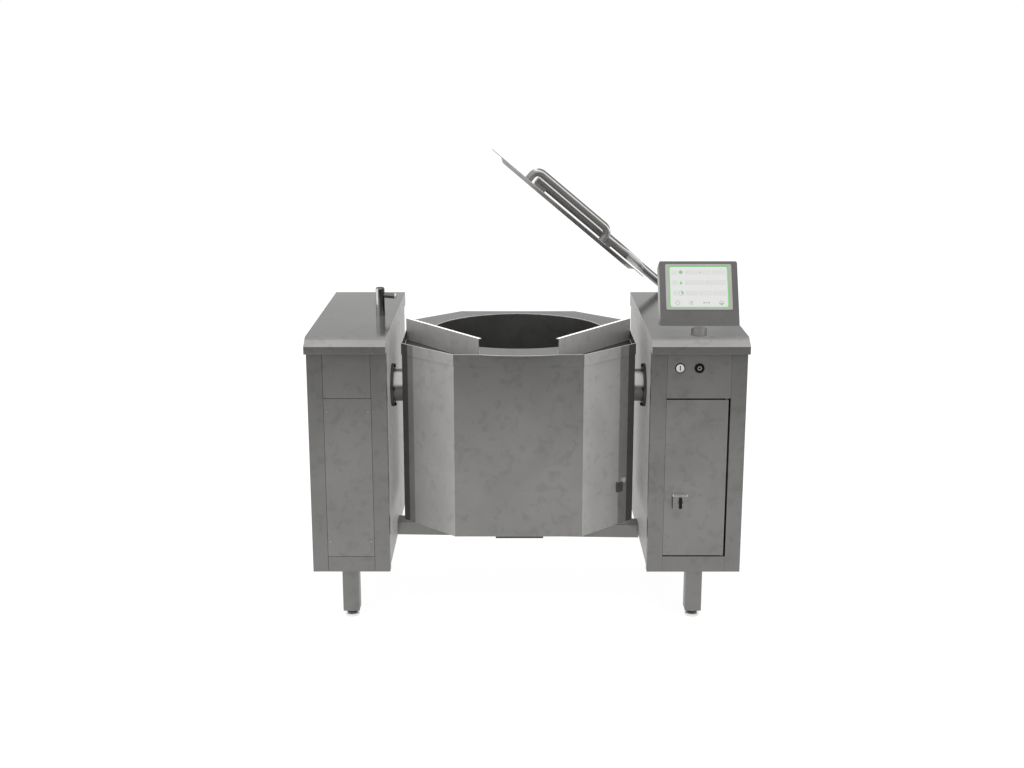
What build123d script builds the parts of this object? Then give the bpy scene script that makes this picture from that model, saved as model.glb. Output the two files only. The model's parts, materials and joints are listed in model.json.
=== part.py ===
from build123d import *
from math import asin, atan2, cos, degrees, hypot, pi, radians, sin, sqrt, tan
import os

# A tilting kettle for large kitchens, in millimetres, +Z up and the front towards -Y.
# The origin is on the floor, in the middle of the box around the whole machine.

os.makedirs("parts", exist_ok=True)

# Worktops and pedestals
gap_width = 776.0          # between the two worktops
left_width = 238.0         # left worktop
right_width = 286.0        # right worktop
worktop_depth = 793.0
worktop_height = 900.0
slope_depth = 40.5           # the worktop's front slopes down over this depth
slope_drop = 22.0
lip_height = 23.0          # front lip below the slope
top_sheet = 2.5
casing_sheet = 2.0
front_inset = 13.0         # body front behind the lip
back_inset = 5.0
outer_inset = 5.0
inner_inset = 3.5          # inner cover behind the worktop's inner edge
body_bottom = 179.0
post_width = 46.0
post_depth = 30.0
bottom_rail_height = 49.0
upper_panel_height = 135.0 # upper front panels, below the worktop's lip
seam_gap = 1.2
panel_return = 18.0        # folded edge of a front panel
screw_inset = 9.0
screw_rise = 47.0          # panel screws above and below the panel's edges
screw_drop = 39.0
screw_radius = 3.0

# Legs, support frames and cross beam
leg_size = 50.0
leg_wall = 3.0
leg_bottom = 21.0
leg_offset = 11.0          # legs stand this much outside the pedestal's middle
leg_inset = 111.5          # leg's middle from the worktop's front or back edge
foot_radius = 22.5
foot_stem_radius = 8.0
stem_clearance = 0.2
base_sheet = 4.0
frame_tube = 40.0
frame_tube_width = 20.0
frame_wall = 3.0
bearing_plate = 8.0
beam_height = 44.0
beam_depth = 65.0
beam_wall = 3.0
beam_front = 60.0          # beam's front, ahead of the worktop's middle
beam_left_bottom = 181.0
beam_fall = 11.0           # the beam falls this much from left to right

# Kettle
kettle_setback = 1.8       # front facet behind the worktops' front edge
kettle_depth = 676.3
kettle_side_gap = 33.0     # kettle from the worktops' inner edges
facet_width = 164.0          # the four slanted facets take this much of the width
corner_cut = 161.0         # and this much of the depth
rim_drop = 45.0            # kettle's rim below the worktops
collar_height = 35.0
collar_proud = 2.0         # collar stands out from the cladding
kettle_lift = 116.0        # kettle's bottom above the pedestals' bottom
bowl_radius = 275.0
bowl_behind_front = 355.7  # bowl axis behind the front facet
bowl_wall = 3.0
bowl_lift = 75.0           # bowl's lowest point above the kettle's bottom
bowl_dish = 190.0
jacket_gap = 24.0
jacket_wall = 3.0
jacket_drop = 95.0         # jacket's top ring below the rim
insulation = 11.0
insulation_gap = 0.3
insulation_drop = 5.0      # insulation's top below the jacket's top
cladding_sheet = 2.0
deck_sheet = 3.0
tray_depth = 31.0
tray_front_x = 116.7       # trays' inner ends from the kettle's middle
lip_reach = 16.8           # pouring lip ahead of the front facet
lip_half_width = 120.0
guide_distance = 281.0     # pouring guides from the bowl axis
guide_angle = 36.87        # direction of a guide's face from the X axis
guide_height = 38.0        # above the rim
guide_sheet = 2.5
guide_flange = 10.0

# Trunnions and tilt drive
trunnion_behind_front = 239.7  # trunnion axis behind the front facet
trunnion_drop = 149.0      # trunnion axis below the rim
trunnion_radius = 50.0
trunnion_bore = 38.0
running_clearance = 0.05
bearing_flange_radius = 67.0
bearing_flange = 9.0
bearing_barrel_radius = 56.0
bearing_length = 46.0
bolt_ring_radius = 61.5
bearing_bolt_radius = 3.0
trunnion_plate = 10.0
trunnion_plate_width = 150.0
gear_module = 4.0
gear_teeth = 60
pinion_teeth = 15
gear_width = 22.0
pressure_angle = 20.0
gear_backlash = 0.5
gear_side_gap = 8.0        # from the bearing to the gear
pinion_direction = -40.0   # pinion below and behind the trunnion, from +Y
pinion_bore = 10.0
motor_radius = 52.0
motor_length = 118.0
gearbox_size = 110.0
gearbox_length = 42.0

# Lid
lid_radius = 306.0
lid_sheet = 2.5
lid_gap = 1.5              # closed lid above the deck
lid_dish_radius = 268.0
lid_dish_floor_radius = 254.0
lid_dish_depth = 10.0
lid_guide_gap = 5.0        # lid's flats from the pouring guides' flanges
lid_open = 40.0            # opening angle at rest
lid_yaw = 5.8              # hinge axis against the Y axis
hinge_aside = 139.5        # lid hinge from the right worktop's inner edge, along X
hinge_past_worktop = 88.5  # lid hinge behind the worktops' back edge
hinge_drop = 27.0          # lid hinge below the rim
hinge_hub_radius = 28.0
hinge_hub_length = 40.0
shaft_radius = 15.0
shaft_inside = 160.0       # shaft's reach into the pedestal from the hub
arm_radius = 15.0
arm_wall = 2.5
arm_rise = 22.0            # arm axis above the lid plate's underside
handle_radius = 12.0
handle_rise = 43.0         # handle axis above the lid plate's underside
handle_front = -171.0      # handle's ends along the lid
handle_back = 125.0
handle_pad_radius = 19.0   # round pads under the handle's legs
handle_pad = 4.0
handle_side = -62.0        # handle beside the arm

# Tap
tap_inset = 47.0           # tap axis from the left worktop's inner edge
tap_ahead = 16.0
tap_radius = 14.0
tap_height = 88.0
tap_split = 44.0
spout_height = 64.0
spout_radius = 8.0
spout_bore = 5.5
spout_reach = 50.0
spout_fall = 5.0

# Touch panel
neck_radius = 23.0
neck_aside = 142.0         # neck axis from the right worktop's inner edge
neck_setback = 66.5        # neck axis behind the worktop's front edge
cable_hole = 11.0          # radius of the way for the panel's cable
housing_width = 231.0
housing_height = 200.0
housing_depth = 50.0
housing_lean = 28.5        # face against the vertical, in degrees
housing_rise = 32.0        # face's lower edge above the worktop
housing_aside = 141.8      # housing's middle from the right worktop's inner edge
housing_setback = 40.5     # face's lower edge behind the worktop's front edge
bezel_width = 195.0
bezel_height = 141.5
bezel_thickness = 2.0
bezel_drop = 9.4           # bezel below the housing's top edge
screen_width = 176.0
screen_height = 130.0
screen_thickness = 1.2

# Buttons, door and lock
button_drop = 43.0         # buttons below the worktop's lip
start_button_aside = 83.5  # from the right worktop's inner edge
stop_button_aside = 140.0
button_radius = 12.0
button_ring_radius = 14.5
button_ring_depth = 3.0
button_travel = 3.0
button_clearance = 0.3
button_proud = 4.0
door_side_gap = 6.0
door_edge_gap = 4.0
door_sheet = 2.0
hinge_pin_radius = 3.0
lock_size = 45.0
lock_aside = 94.0
lock_rise = 170.5          # lock above the door's lower edge
lock_depth = 16.0          # lock's block in front of the door
latch_length = 34.0
latch_width = 8.0
latch_proud = 5.0

# Derived places
lid_cos = cos(radians(lid_yaw))
lid_sin = sin(radians(lid_yaw))
front_reach = worktop_depth / 2 - kettle_setback + lip_reach
hinge_behind = worktop_depth / 2 + hinge_past_worktop
back_reach = hinge_behind + hinge_hub_length / 2 * lid_cos + hinge_hub_radius * lid_sin
mid_y = (front_reach - back_reach) / 2
kettle_x = (left_width - right_width) / 2
half_gap = gap_width / 2
kettle_half_width = half_gap - kettle_side_gap
facet_half_width = kettle_half_width - facet_width
pedestal_width = {-1: left_width, 1: right_width}
lip_front_y = mid_y - worktop_depth / 2
worktop_back_y = mid_y + worktop_depth / 2
front_y = lip_front_y + front_inset
kettle_front_y = lip_front_y + kettle_setback
kettle_back_y = kettle_front_y + kettle_depth
back_y = worktop_back_y - back_inset
inner_d = half_gap + inner_inset
flange_bottom = worktop_height - slope_drop - lip_height
upper_seam = flange_bottom - upper_panel_height
button_height = flange_bottom - button_drop
rim_height = worktop_height - rim_drop
kettle_bottom_z = body_bottom + kettle_lift
bowl_straight_bottom = kettle_bottom_z + bowl_lift + bowl_dish
jacket_top = rim_height - jacket_drop
insulation_bottom = bowl_straight_bottom
insulation_top = jacket_top - insulation_drop
trunnion_height = rim_height - trunnion_drop
hinge_height = rim_height - hinge_drop
housing_bottom = worktop_height + housing_rise
worktop_under = worktop_height - top_sheet
lower_seam = body_bottom + bottom_rail_height
bowl_y = kettle_front_y + bowl_behind_front
trunnion_y = kettle_front_y + trunnion_behind_front
bowl_axis = Axis((kettle_x, bowl_y, 0), (0, 0, 1))
weld_gap = 0.1             # pieces that are welded together keep this in the solids
beyond = 2 * worktop_depth # larger than any piece, for shapes that only cut


def side_x(side, distance):
    """X of a place at a distance from the kettle's middle, on the left (-1) or right (+1)."""
    return kettle_x + side * distance


def outer_d(side):
    """Outer face of a pedestal's casing, from the kettle's middle."""
    return half_gap + pedestal_width[side] - outer_inset


def block(x0, x1, y0, y1, z0, z1, mode=Mode.ADD):
    """A block between two corners."""
    with Locations(((x0 + x1) / 2, (y0 + y1) / 2, (z0 + z1) / 2)):
        Box(abs(x1 - x0), abs(y1 - y0), abs(z1 - z0), mode=mode)


def rod(start, direction, radius, length, mode=Mode.ADD):
    """A round rod from a point along a direction."""
    with BuildSketch(Plane(origin=start, z_dir=direction)) as section:
        Circle(radius)
    extrude(to_extrude=section.sketch, amount=length, mode=mode)


def hexagon(start, direction, across, length, mode=Mode.ADD):
    """A hexagonal head or nut from a point along a direction."""
    with BuildSketch(Plane(origin=start, z_dir=direction)) as section:
        RegularPolygon(across / 2, 6, major_radius=False)
    extrude(to_extrude=section.sketch, amount=length, mode=mode)


def finish(builder, name):
    """Labels a finished piece and writes its file."""
    builder.part.label = name
    export_step(builder.part, f"parts/{name}.step")


def octagon(z0, z1, inset, mode=Mode.ADD):
    """A prism with the kettle's outline, its faces moved inwards by the inset."""
    corners = [
        (kettle_x - facet_half_width, kettle_front_y),
        (kettle_x + facet_half_width, kettle_front_y),
        (kettle_x + kettle_half_width, kettle_front_y + corner_cut),
        (kettle_x + kettle_half_width, kettle_back_y - corner_cut),
        (kettle_x + facet_half_width, kettle_back_y),
        (kettle_x - facet_half_width, kettle_back_y),
        (kettle_x - kettle_half_width, kettle_back_y - corner_cut),
        (kettle_x - kettle_half_width, kettle_front_y + corner_cut),
    ]
    with BuildSketch(Plane.XY.offset(z0)) as outline:
        with BuildLine():
            Polyline(*corners, close=True)
        make_face()
        if inset:
            offset(amount=-inset, kind=Kind.INTERSECTION, mode=Mode.REPLACE)
    extrude(to_extrude=outline.sketch, amount=z1 - z0, mode=mode)


# Worktops: a folded cap with a sloped front, open below
slope_angle = atan2(slope_drop, slope_depth)
slope_y = lip_front_y + top_sheet * sin(slope_angle)
slope_z = worktop_height - slope_drop - top_sheet * cos(slope_angle)
slope_inner_z = slope_z + tan(slope_angle) * (lip_front_y + top_sheet - slope_y)
for side, name in ((-1, "left_worktop"), (1, "right_worktop")):
    x_start = min(side_x(side, half_gap), side_x(side, half_gap + pedestal_width[side]))
    with BuildPart() as worktop:
        with BuildSketch(Plane.YZ.offset(x_start)):
            with BuildLine():
                Polyline(
                    (lip_front_y, flange_bottom),
                    (lip_front_y, worktop_height - slope_drop),
                    (lip_front_y + slope_depth, worktop_height),
                    (worktop_back_y, worktop_height),
                    (worktop_back_y, flange_bottom),
                    close=True,
                )
            make_face()
        extrude(amount=pedestal_width[side])
        with BuildSketch(Plane.YZ.offset(x_start + top_sheet)):
            with BuildLine():
                Polyline(
                    (lip_front_y + top_sheet, flange_bottom),
                    (lip_front_y + top_sheet, slope_inner_z),
                    (slope_y + (worktop_under - slope_z) / tan(slope_angle), worktop_under),
                    (worktop_back_y - top_sheet, worktop_under),
                    (worktop_back_y - top_sheet, flange_bottom),
                    close=True,
                )
            make_face()
        extrude(amount=pedestal_width[side] - 2 * top_sheet, mode=Mode.SUBTRACT)
        if side == -1:
            rod((side_x(-1, half_gap + tap_inset), mid_y - tap_ahead, worktop_under - 1), (0, 0, 1),
                spout_radius + stem_clearance, top_sheet + 2, mode=Mode.SUBTRACT)
        else:
            rod((side_x(1, half_gap + neck_aside), lip_front_y + neck_setback, worktop_under - 1), (0, 0, 1),
                cable_hole, top_sheet + 2, mode=Mode.SUBTRACT)
    finish(worktop, name)

# Casings: outer wall and back wall of each pedestal, bent from one sheet
inlet_x = side_x(-1, half_gap + tap_inset)
inlet_rise = 81.0          # water inlet and cable gland above the pedestals' bottom
inlet_z = body_bottom + inlet_rise
inlet_radius = 10.48
inlet_bore = 7.0
gland_inset = 60.0         # cable gland from the right casing's outer wall
gland_x = side_x(1, outer_d(1) - gland_inset)
gland_z = inlet_z
gland_bore = 8.0
gland_thread_radius = 12.0
hinge_x = side_x(1, half_gap + hinge_aside)
hinge_y = mid_y + hinge_behind
shaft_hole_gap = 6.0
cut_start = 3.0            # how far outside a wall its holes start
shaft_entry = (
    hinge_x + (hinge_y - back_y - cut_start) * lid_sin / lid_cos,
    back_y + cut_start,
    hinge_height,
)
for side, name in ((-1, "left_casing"), (1, "right_casing")):
    outer = side_x(side, outer_d(side))
    inner_wall = side_x(side, inner_d + casing_sheet)
    with BuildPart() as casing:
        block(outer - side * casing_sheet, outer, front_y + post_depth, back_y, body_bottom, worktop_under)
        block(inner_wall, outer, back_y - casing_sheet, back_y, body_bottom, worktop_under)
        if side == -1:
            rod((inlet_x, back_y - 2 * casing_sheet, inlet_z), (0, 1, 0),
                inlet_radius + stem_clearance, 3 * casing_sheet, mode=Mode.SUBTRACT)
        else:
            rod((gland_x, back_y - 2 * casing_sheet, gland_z), (0, 1, 0),
                gland_thread_radius + stem_clearance, 3 * casing_sheet, mode=Mode.SUBTRACT)
            rod(shaft_entry, (lid_sin, -lid_cos, 0), shaft_radius + shaft_hole_gap,
                2 * cut_start + 2 * casing_sheet, mode=Mode.SUBTRACT)
    finish(casing, name)

# Front frames: two posts and a bottom rail for each pedestal
door_hinge_inset = 5.0     # hinge pin from the door's right edge
door_hinge_depth = 6.5     # hinge pin behind the front
door_hinge_y = front_y + door_hinge_depth
door_hinge_x = side_x(1, outer_d(1) - post_width - door_side_gap - door_hinge_inset)
pin_reach = 12.0
frame_gap = 0.3
for side, name in ((-1, "left_front_frame"), (1, "right_front_frame")):
    with BuildPart() as front_frame:
        inner_post = side_x(side, half_gap)
        outer_post = side_x(side, outer_d(side))
        block(inner_post, inner_post + side * post_width, front_y, front_y + post_depth,
              body_bottom, flange_bottom - frame_gap)
        block(outer_post - side * post_width, outer_post, front_y, front_y + post_depth - frame_gap,
              body_bottom, flange_bottom - frame_gap)
        block(inner_post + side * (post_width + frame_gap), outer_post - side * (post_width + frame_gap),
              front_y, front_y + post_depth, body_bottom, lower_seam)
        if side == 1:
            rod((door_hinge_x, door_hinge_y, lower_seam), (0, 0, -1),
                hinge_pin_radius + running_clearance, pin_reach, mode=Mode.SUBTRACT)
    finish(front_frame, name)


def folded_panel(x0, x1, z0, z1, sheet):
    """A front panel with its four edges folded back."""
    block(x0, x1, front_y, front_y + panel_return, z0, z1)
    block(x0 + sheet, x1 - sheet, front_y + sheet, front_y + panel_return, z0 + sheet, z1 - sheet,
          mode=Mode.SUBTRACT)


# Upper front panels
button_places = (side_x(1, half_gap + start_button_aside), side_x(1, half_gap + stop_button_aside))
barrel_wall = 1.2
barrel_radius = button_radius + button_clearance + barrel_wall
for side, name in ((-1, "left_upper_panel"), (1, "right_upper_panel")):
    edges = sorted((side_x(side, half_gap + post_width), side_x(side, outer_d(side) - post_width)))
    with BuildPart() as upper_panel:
        folded_panel(edges[0] + seam_gap / 2, edges[1] - seam_gap / 2, upper_seam + seam_gap / 2,
                     flange_bottom - frame_gap, casing_sheet)
        if side == 1:
            for button_x in button_places:
                rod((button_x, front_y - casing_sheet, button_height), (0, 1, 0),
                    barrel_radius + weld_gap, 3 * casing_sheet, mode=Mode.SUBTRACT)
            rod((door_hinge_x, door_hinge_y, upper_seam - casing_sheet), (0, 0, 1),
                hinge_pin_radius + running_clearance, 3 * casing_sheet, mode=Mode.SUBTRACT)
    finish(upper_panel, name)

# Left lower panel and its screws
panel_left = side_x(-1, outer_d(-1) - post_width) + seam_gap / 2
panel_right = side_x(-1, half_gap + post_width) - seam_gap / 2
panel_top = upper_seam - seam_gap / 2
panel_bottom = lower_seam + seam_gap / 2
screw_places = [
    (x, z)
    for x in (panel_left + screw_inset, panel_right - screw_inset)
    for z in (panel_bottom + screw_rise, panel_top - screw_drop)
]
screw_shank = 1.9
screw_head = 1.4
screw_length = 8.0
with BuildPart() as left_lower_panel:
    folded_panel(panel_left, panel_right, panel_bottom, panel_top, casing_sheet)
    for x, z in screw_places:
        rod((x, front_y - casing_sheet, z), (0, 1, 0), screw_shank + weld_gap, 3 * casing_sheet,
            mode=Mode.SUBTRACT)
finish(left_lower_panel, "left_lower_panel")

with BuildPart() as panel_screws:
    for x, z in screw_places:
        rod((x, front_y, z), (0, -1, 0), screw_radius, screw_head)
        rod((x, front_y, z), (0, 1, 0), screw_shank, screw_length)
finish(panel_screws, "panel_screws")

# Inner covers, brushed, that face the kettle
barrel_gap = 0.3
for side, name in ((-1, "left_inner_cover"), (1, "right_inner_cover")):
    inner = side_x(side, inner_d)
    with BuildPart() as inner_cover:
        block(inner, inner + side * casing_sheet, front_y + post_depth, back_y, body_bottom, worktop_under)
        rod((inner - side, trunnion_y, trunnion_height), (side, 0, 0),
            bearing_barrel_radius + barrel_gap, 2 * casing_sheet, mode=Mode.SUBTRACT)
        with BuildSketch(Plane(origin=(inner - side, trunnion_y, trunnion_height), x_dir=(0, 1, 0),
                               z_dir=(side, 0, 0))):
            with PolarLocations(bolt_ring_radius, 4):
                Circle(bearing_bolt_radius + weld_gap)
        extrude(amount=2 * casing_sheet, mode=Mode.SUBTRACT)
    finish(inner_cover, name)


def tube_block(x0, x1, y0, y1, z0, z1, wall, along):
    """A rectangular tube between two corners, open at the ends of one axis."""
    inset = {axis: wall for axis in "xyz"}
    inset[along] = 0
    block(x0, x1, y0, y1, z0, z1)
    block(x0 + inset["x"], x1 - inset["x"], y0 + inset["y"], y1 - inset["y"],
          z0 + inset["z"], z1 - inset["z"], mode=Mode.SUBTRACT)


# Support frames: base plate, bearing plate with stiffeners, back column and top rail
plate_d = inner_d + casing_sheet
base_top = body_bottom + base_sheet
stiffener = 6.0
plate_ahead = {-1: 110.0, 1: 135.0}
plate_behind = 190.0
valve_seat = 29.0          # the left plate ends this far ahead of the tap, and carries its valve
plate_front = {side: trunnion_y - plate_ahead[side] for side in (-1, 1)}
plate_back = {-1: mid_y - tap_ahead - valve_seat, 1: trunnion_y + plate_behind}
column_back = back_y - casing_sheet
pinion_distance = gear_module * (gear_teeth + pinion_teeth) / 2
pinion_y = trunnion_y + pinion_distance * cos(radians(pinion_direction))
pinion_z = trunnion_height + pinion_distance * sin(radians(pinion_direction))
bearing_end = inner_d - bearing_flange + bearing_length
gear_d = bearing_end + gear_side_gap
motor_plate_gap = 5.5      # from the gear to the motor's plate
motor_plate_d = gear_d + gear_width + motor_plate_gap
motor_plate = 8.0
motor_plate_ahead = 52.0   # edges of the motor's plate from the pinion
motor_plate_behind = 70.0
motor_plate_below = 80.0
motor_plate_above = 62.0
standoff_radius = 9.0
standoffs_radius = 75.0
standoff_spread = 80.0     # angle between two standoffs
shaft_room = 2.0
for side, name in ((-1, "left_frame"), (1, "right_frame")):
    inner = side_x(side, plate_d)
    plate_outer = side_x(side, plate_d + bearing_plate)
    stiffener_outer = side_x(side, plate_d + frame_tube)
    tube = sorted((inner, side_x(side, plate_d + frame_tube_width)))
    with BuildPart() as frame:
        block(inner, side_x(side, outer_d(side) - casing_sheet), front_y + post_depth, column_back,
              body_bottom, base_top)
        block(inner, plate_outer, plate_front[side], plate_back[side], base_top, worktop_under)
        for edge_y, inward in ((plate_front[side], 1), (plate_back[side], -1)):
            block(inner, stiffener_outer, min(edge_y, edge_y + inward * stiffener),
                  max(edge_y, edge_y + inward * stiffener), base_top, worktop_under)
        tube_block(tube[0], tube[1], column_back - frame_tube, column_back, base_top, worktop_under,
                   frame_wall, "z")
        tube_block(tube[0], tube[1], plate_back[side], column_back - frame_tube,
                   worktop_under - frame_tube, worktop_under, frame_wall, "y")
        rod((inner - side, trunnion_y, trunnion_height), (side, 0, 0), bearing_barrel_radius + weld_gap,
            bearing_plate + 2, mode=Mode.SUBTRACT)
        with BuildSketch(Plane(origin=(inner - side, trunnion_y, trunnion_height), x_dir=(0, 1, 0),
                               z_dir=(side, 0, 0))):
            with PolarLocations(bolt_ring_radius, 4):
                Circle(bearing_bolt_radius + weld_gap)
        extrude(amount=bearing_plate + 2, mode=Mode.SUBTRACT)
        if side == 1:
            for step in (-1, 0, 1):
                angle = radians(pinion_direction + step * standoff_spread)
                place = (plate_outer, pinion_y + standoffs_radius * cos(angle),
                         pinion_z + standoffs_radius * sin(angle))
                rod(place, (1, 0, 0), standoff_radius, motor_plate_d - plate_d - bearing_plate)
            block(side_x(1, motor_plate_d), side_x(1, motor_plate_d + motor_plate),
                  pinion_y - motor_plate_ahead, pinion_y + motor_plate_behind,
                  pinion_z - motor_plate_below, pinion_z + motor_plate_above)
            rod((side_x(1, motor_plate_d - 1), pinion_y, pinion_z), (1, 0, 0),
                pinion_bore + shaft_room, motor_plate + 2, mode=Mode.SUBTRACT)
    finish(frame, name)

# Legs: square tubes with a threaded bottom plate
leg_places = [
    (side_x(side, half_gap + pedestal_width[side] / 2 + leg_offset), y)
    for side in (-1, 1)
    for y in (lip_front_y + leg_inset, worktop_back_y - leg_inset)
]
leg_cap = 6.0
with BuildPart() as legs:
    for x, y in leg_places:
        block(x - leg_size / 2, x + leg_size / 2, y - leg_size / 2, y + leg_size / 2,
              leg_bottom, body_bottom)
        block(x - leg_size / 2 + leg_wall, x + leg_size / 2 - leg_wall, y - leg_size / 2 + leg_wall,
              y + leg_size / 2 - leg_wall, leg_bottom + leg_cap, body_bottom, mode=Mode.SUBTRACT)
        rod((x, y, leg_bottom - 1), (0, 0, 1), foot_stem_radius + stem_clearance, leg_cap + 2,
            mode=Mode.SUBTRACT)
finish(legs, "legs")

foot_pad = 8.0
foot_neck_top = 14.0
foot_neck_radius = 12.0
foot_nut = 22.0
foot_stem_top = 70.0
with BuildPart() as levelling_feet:
    for x, y in leg_places:
        with BuildSketch(Plane(origin=(x, y, 0), x_dir=(1, 0, 0), z_dir=(0, -1, 0))):
            with BuildLine():
                Polyline(
                    (0, 0),
                    (foot_radius, 0),
                    (foot_radius, foot_pad),
                    (foot_neck_radius, foot_neck_top),
                    (foot_stem_radius, foot_neck_top),
                    (foot_stem_radius, foot_stem_top),
                    (0, foot_stem_top),
                    close=True,
                )
            make_face()
        revolve(axis=Axis((x, y, 0), (0, 0, 1)))
        hexagon((x, y, foot_neck_top), (0, 0, 1), foot_nut, leg_bottom - foot_neck_top)
finish(levelling_feet, "levelling_feet")

# Trunnion bearings: flanged bushes, and the bolts that hold them
with BuildPart() as trunnion_bearings:
    for side in (-1, 1):
        flange_face = side_x(side, inner_d - bearing_flange)
        rod((flange_face, trunnion_y, trunnion_height), (side, 0, 0), bearing_flange_radius, bearing_flange)
        rod((flange_face, trunnion_y, trunnion_height), (side, 0, 0), bearing_barrel_radius, bearing_length)
        rod((flange_face - side, trunnion_y, trunnion_height), (side, 0, 0),
            trunnion_radius + running_clearance, bearing_length + 2, mode=Mode.SUBTRACT)
        with BuildSketch(Plane(origin=(flange_face - side, trunnion_y, trunnion_height),
                               x_dir=(0, 1, 0), z_dir=(side, 0, 0))):
            with PolarLocations(bolt_ring_radius, 4):
                Circle(bearing_bolt_radius + weld_gap)
        extrude(amount=bearing_flange + 2, mode=Mode.SUBTRACT)
finish(trunnion_bearings, "trunnion_bearings")

bolt_head = 4.0
bolt_across = 9.0
nut_height = 5.0
bolt_end = 2.0             # bolt beyond its nut
with BuildPart() as bearing_bolts:
    for side in (-1, 1):
        for quarter in range(4):
            y = trunnion_y + bolt_ring_radius * cos(quarter * pi / 2)
            z = trunnion_height + bolt_ring_radius * sin(quarter * pi / 2)
            head_d = inner_d - bearing_flange
            hexagon((side_x(side, head_d), y, z), (-side, 0, 0), bolt_across, bolt_head)
            rod((side_x(side, head_d), y, z), (side, 0, 0), bearing_bolt_radius,
                plate_d + bearing_plate + nut_height + bolt_end - head_d)
            hexagon((side_x(side, plate_d + bearing_plate), y, z), (side, 0, 0), bolt_across, nut_height)
finish(bearing_bolts, "bearing_bolts")

# Cross beam: a square-cornered tube that falls a little from left to right
with BuildPart() as cross_beam:
    for wall, mode in ((0.0, Mode.ADD), (beam_wall, Mode.SUBTRACT)):
        with BuildSketch(Plane.XZ.offset(-(mid_y - beam_front + beam_depth - wall))):
            with BuildLine():
                Polyline(
                    (side_x(-1, inner_d), beam_left_bottom + wall),
                    (side_x(-1, inner_d), beam_left_bottom + beam_height - wall),
                    (side_x(1, inner_d), beam_left_bottom - beam_fall + beam_height - wall),
                    (side_x(1, inner_d), beam_left_bottom - beam_fall + wall),
                    close=True,
                )
            make_face()
        extrude(amount=beam_depth - 2 * wall, mode=mode)
finish(cross_beam, "cross_beam")


# Kettle
def vessel(radius, top, dish, mode=Mode.ADD):
    """A round vessel around the bowl's axis, with a dished bottom."""
    with BuildSketch(Plane(origin=(kettle_x, bowl_y, 0), x_dir=(1, 0, 0), z_dir=(0, -1, 0))) as outline:
        with BuildLine():
            Line((0, bowl_straight_bottom - dish), (0, top))
            Line((0, top), (radius, top))
            if top > bowl_straight_bottom:
                Line((radius, top), (radius, bowl_straight_bottom))
            EllipticalCenterArc((0, bowl_straight_bottom), radius, dish, start_angle=270, arc_size=90)
        make_face()
    revolve(profiles=outline.sketch, axis=bowl_axis, mode=mode)


bowl_outer = bowl_radius + bowl_wall
jacket_inner = bowl_outer + jacket_gap
jacket_outer = jacket_inner + jacket_wall
jacket_dish = bowl_dish + bowl_wall + jacket_gap
deck_under = rim_height - deck_sheet
collar_bottom = rim_height - collar_height
cladding_inside = collar_proud + cladding_sheet
tray_bottom = rim_height - tray_depth
plug_pipe_radius = 7.0
plug_along = 163.0         # plug on the right front facet, from the front corner
plug_rise = 122.0          # plug above the kettle's bottom
plug_height = kettle_bottom_z + plug_rise
plug_reach = 200.0         # more than the plug's pipe needs to meet the jacket
plug_cut = 10.0
plug_width = 22.0
plug_tall = 32.0
plug_deep = 8.0
facet_length = hypot(kettle_half_width - facet_half_width, corner_cut)
facet_x = (kettle_half_width - facet_half_width) / facet_length
facet_y = corner_cut / facet_length
valve_body_radius = 11.0
valve_gap = 2.0            # safety valve from the bowl's wall
valve_radius = bowl_outer + valve_body_radius + valve_gap
outlet_radius = 5.0
outlet_length = 80.0
outlet_rise = 30.0         # valve's outlet above the jacket's top ring
outlet_height = jacket_top + outlet_rise
heater_radius = bowl_outer + jacket_gap / 2
heater_dish = bowl_dish + bowl_wall + jacket_gap / 2
heater_insets = (120.0, 80.0, 40.0)
heater_radii = [heater_radius - inset for inset in heater_insets]
heater_heights = [
    bowl_straight_bottom - heater_dish * sqrt(1 - (radius / heater_radius) ** 2)
    for radius in heater_radii
]
heater_stubs = (18.0, 28.0, 38.0)
heater_stub_end = 12.0     # stubs below the kettle's bottom
heater_tube = 6.0
stub_radius = 5.0
stub_places = [
    (kettle_x + way * stub, bowl_y - sqrt(radius ** 2 - stub ** 2), height)
    for radius, height, stub in zip(heater_radii, heater_heights, heater_stubs)
    for way in (-1, 1)
]
box_left = 70.0
box_right = 76.0
box_behind_front = 76.7
box_depth = 148.0
box_height = 33.0
box_sheet = 2.0
box_y = kettle_front_y + box_behind_front


def facet_point(side, along, outward, height):
    """A point on a front slanted facet: along it from the front corner, and out of the cladding."""
    away = outward - collar_proud
    return (
        kettle_x + side * (facet_half_width + along * facet_x + away * facet_y),
        kettle_front_y + along * facet_y - away * facet_x,
        height,
    )


# The bowl is a rolled wall, welded to a pressed bottom
with BuildPart() as kettle_bowl:
    rod((kettle_x, bowl_y, bowl_straight_bottom), (0, 0, 1), bowl_outer, deck_under - bowl_straight_bottom)
    rod((kettle_x, bowl_y, bowl_straight_bottom - 1), (0, 0, 1), bowl_radius,
        deck_under - bowl_straight_bottom + 2, mode=Mode.SUBTRACT)
finish(kettle_bowl, "kettle_bowl")

with BuildPart() as bowl_bottom:
    vessel(bowl_outer, bowl_straight_bottom, bowl_dish + bowl_wall)
    vessel(bowl_radius, bowl_straight_bottom, bowl_dish, mode=Mode.SUBTRACT)
finish(bowl_bottom, "bowl_bottom")

with BuildPart() as steam_jacket:
    vessel(jacket_outer, jacket_top, jacket_dish + jacket_wall)
    vessel(jacket_inner, jacket_top - jacket_wall, jacket_dish, mode=Mode.SUBTRACT)
    rod((kettle_x, bowl_y, jacket_top - 2 * jacket_wall), (0, 0, 1), bowl_outer + weld_gap,
        4 * jacket_wall, mode=Mode.SUBTRACT)
    for x, y, z in stub_places:
        rod((x, y, kettle_bottom_z), (0, 0, 1), stub_radius + weld_gap, z - kettle_bottom_z,
            mode=Mode.SUBTRACT)
finish(steam_jacket, "steam_jacket")

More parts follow.
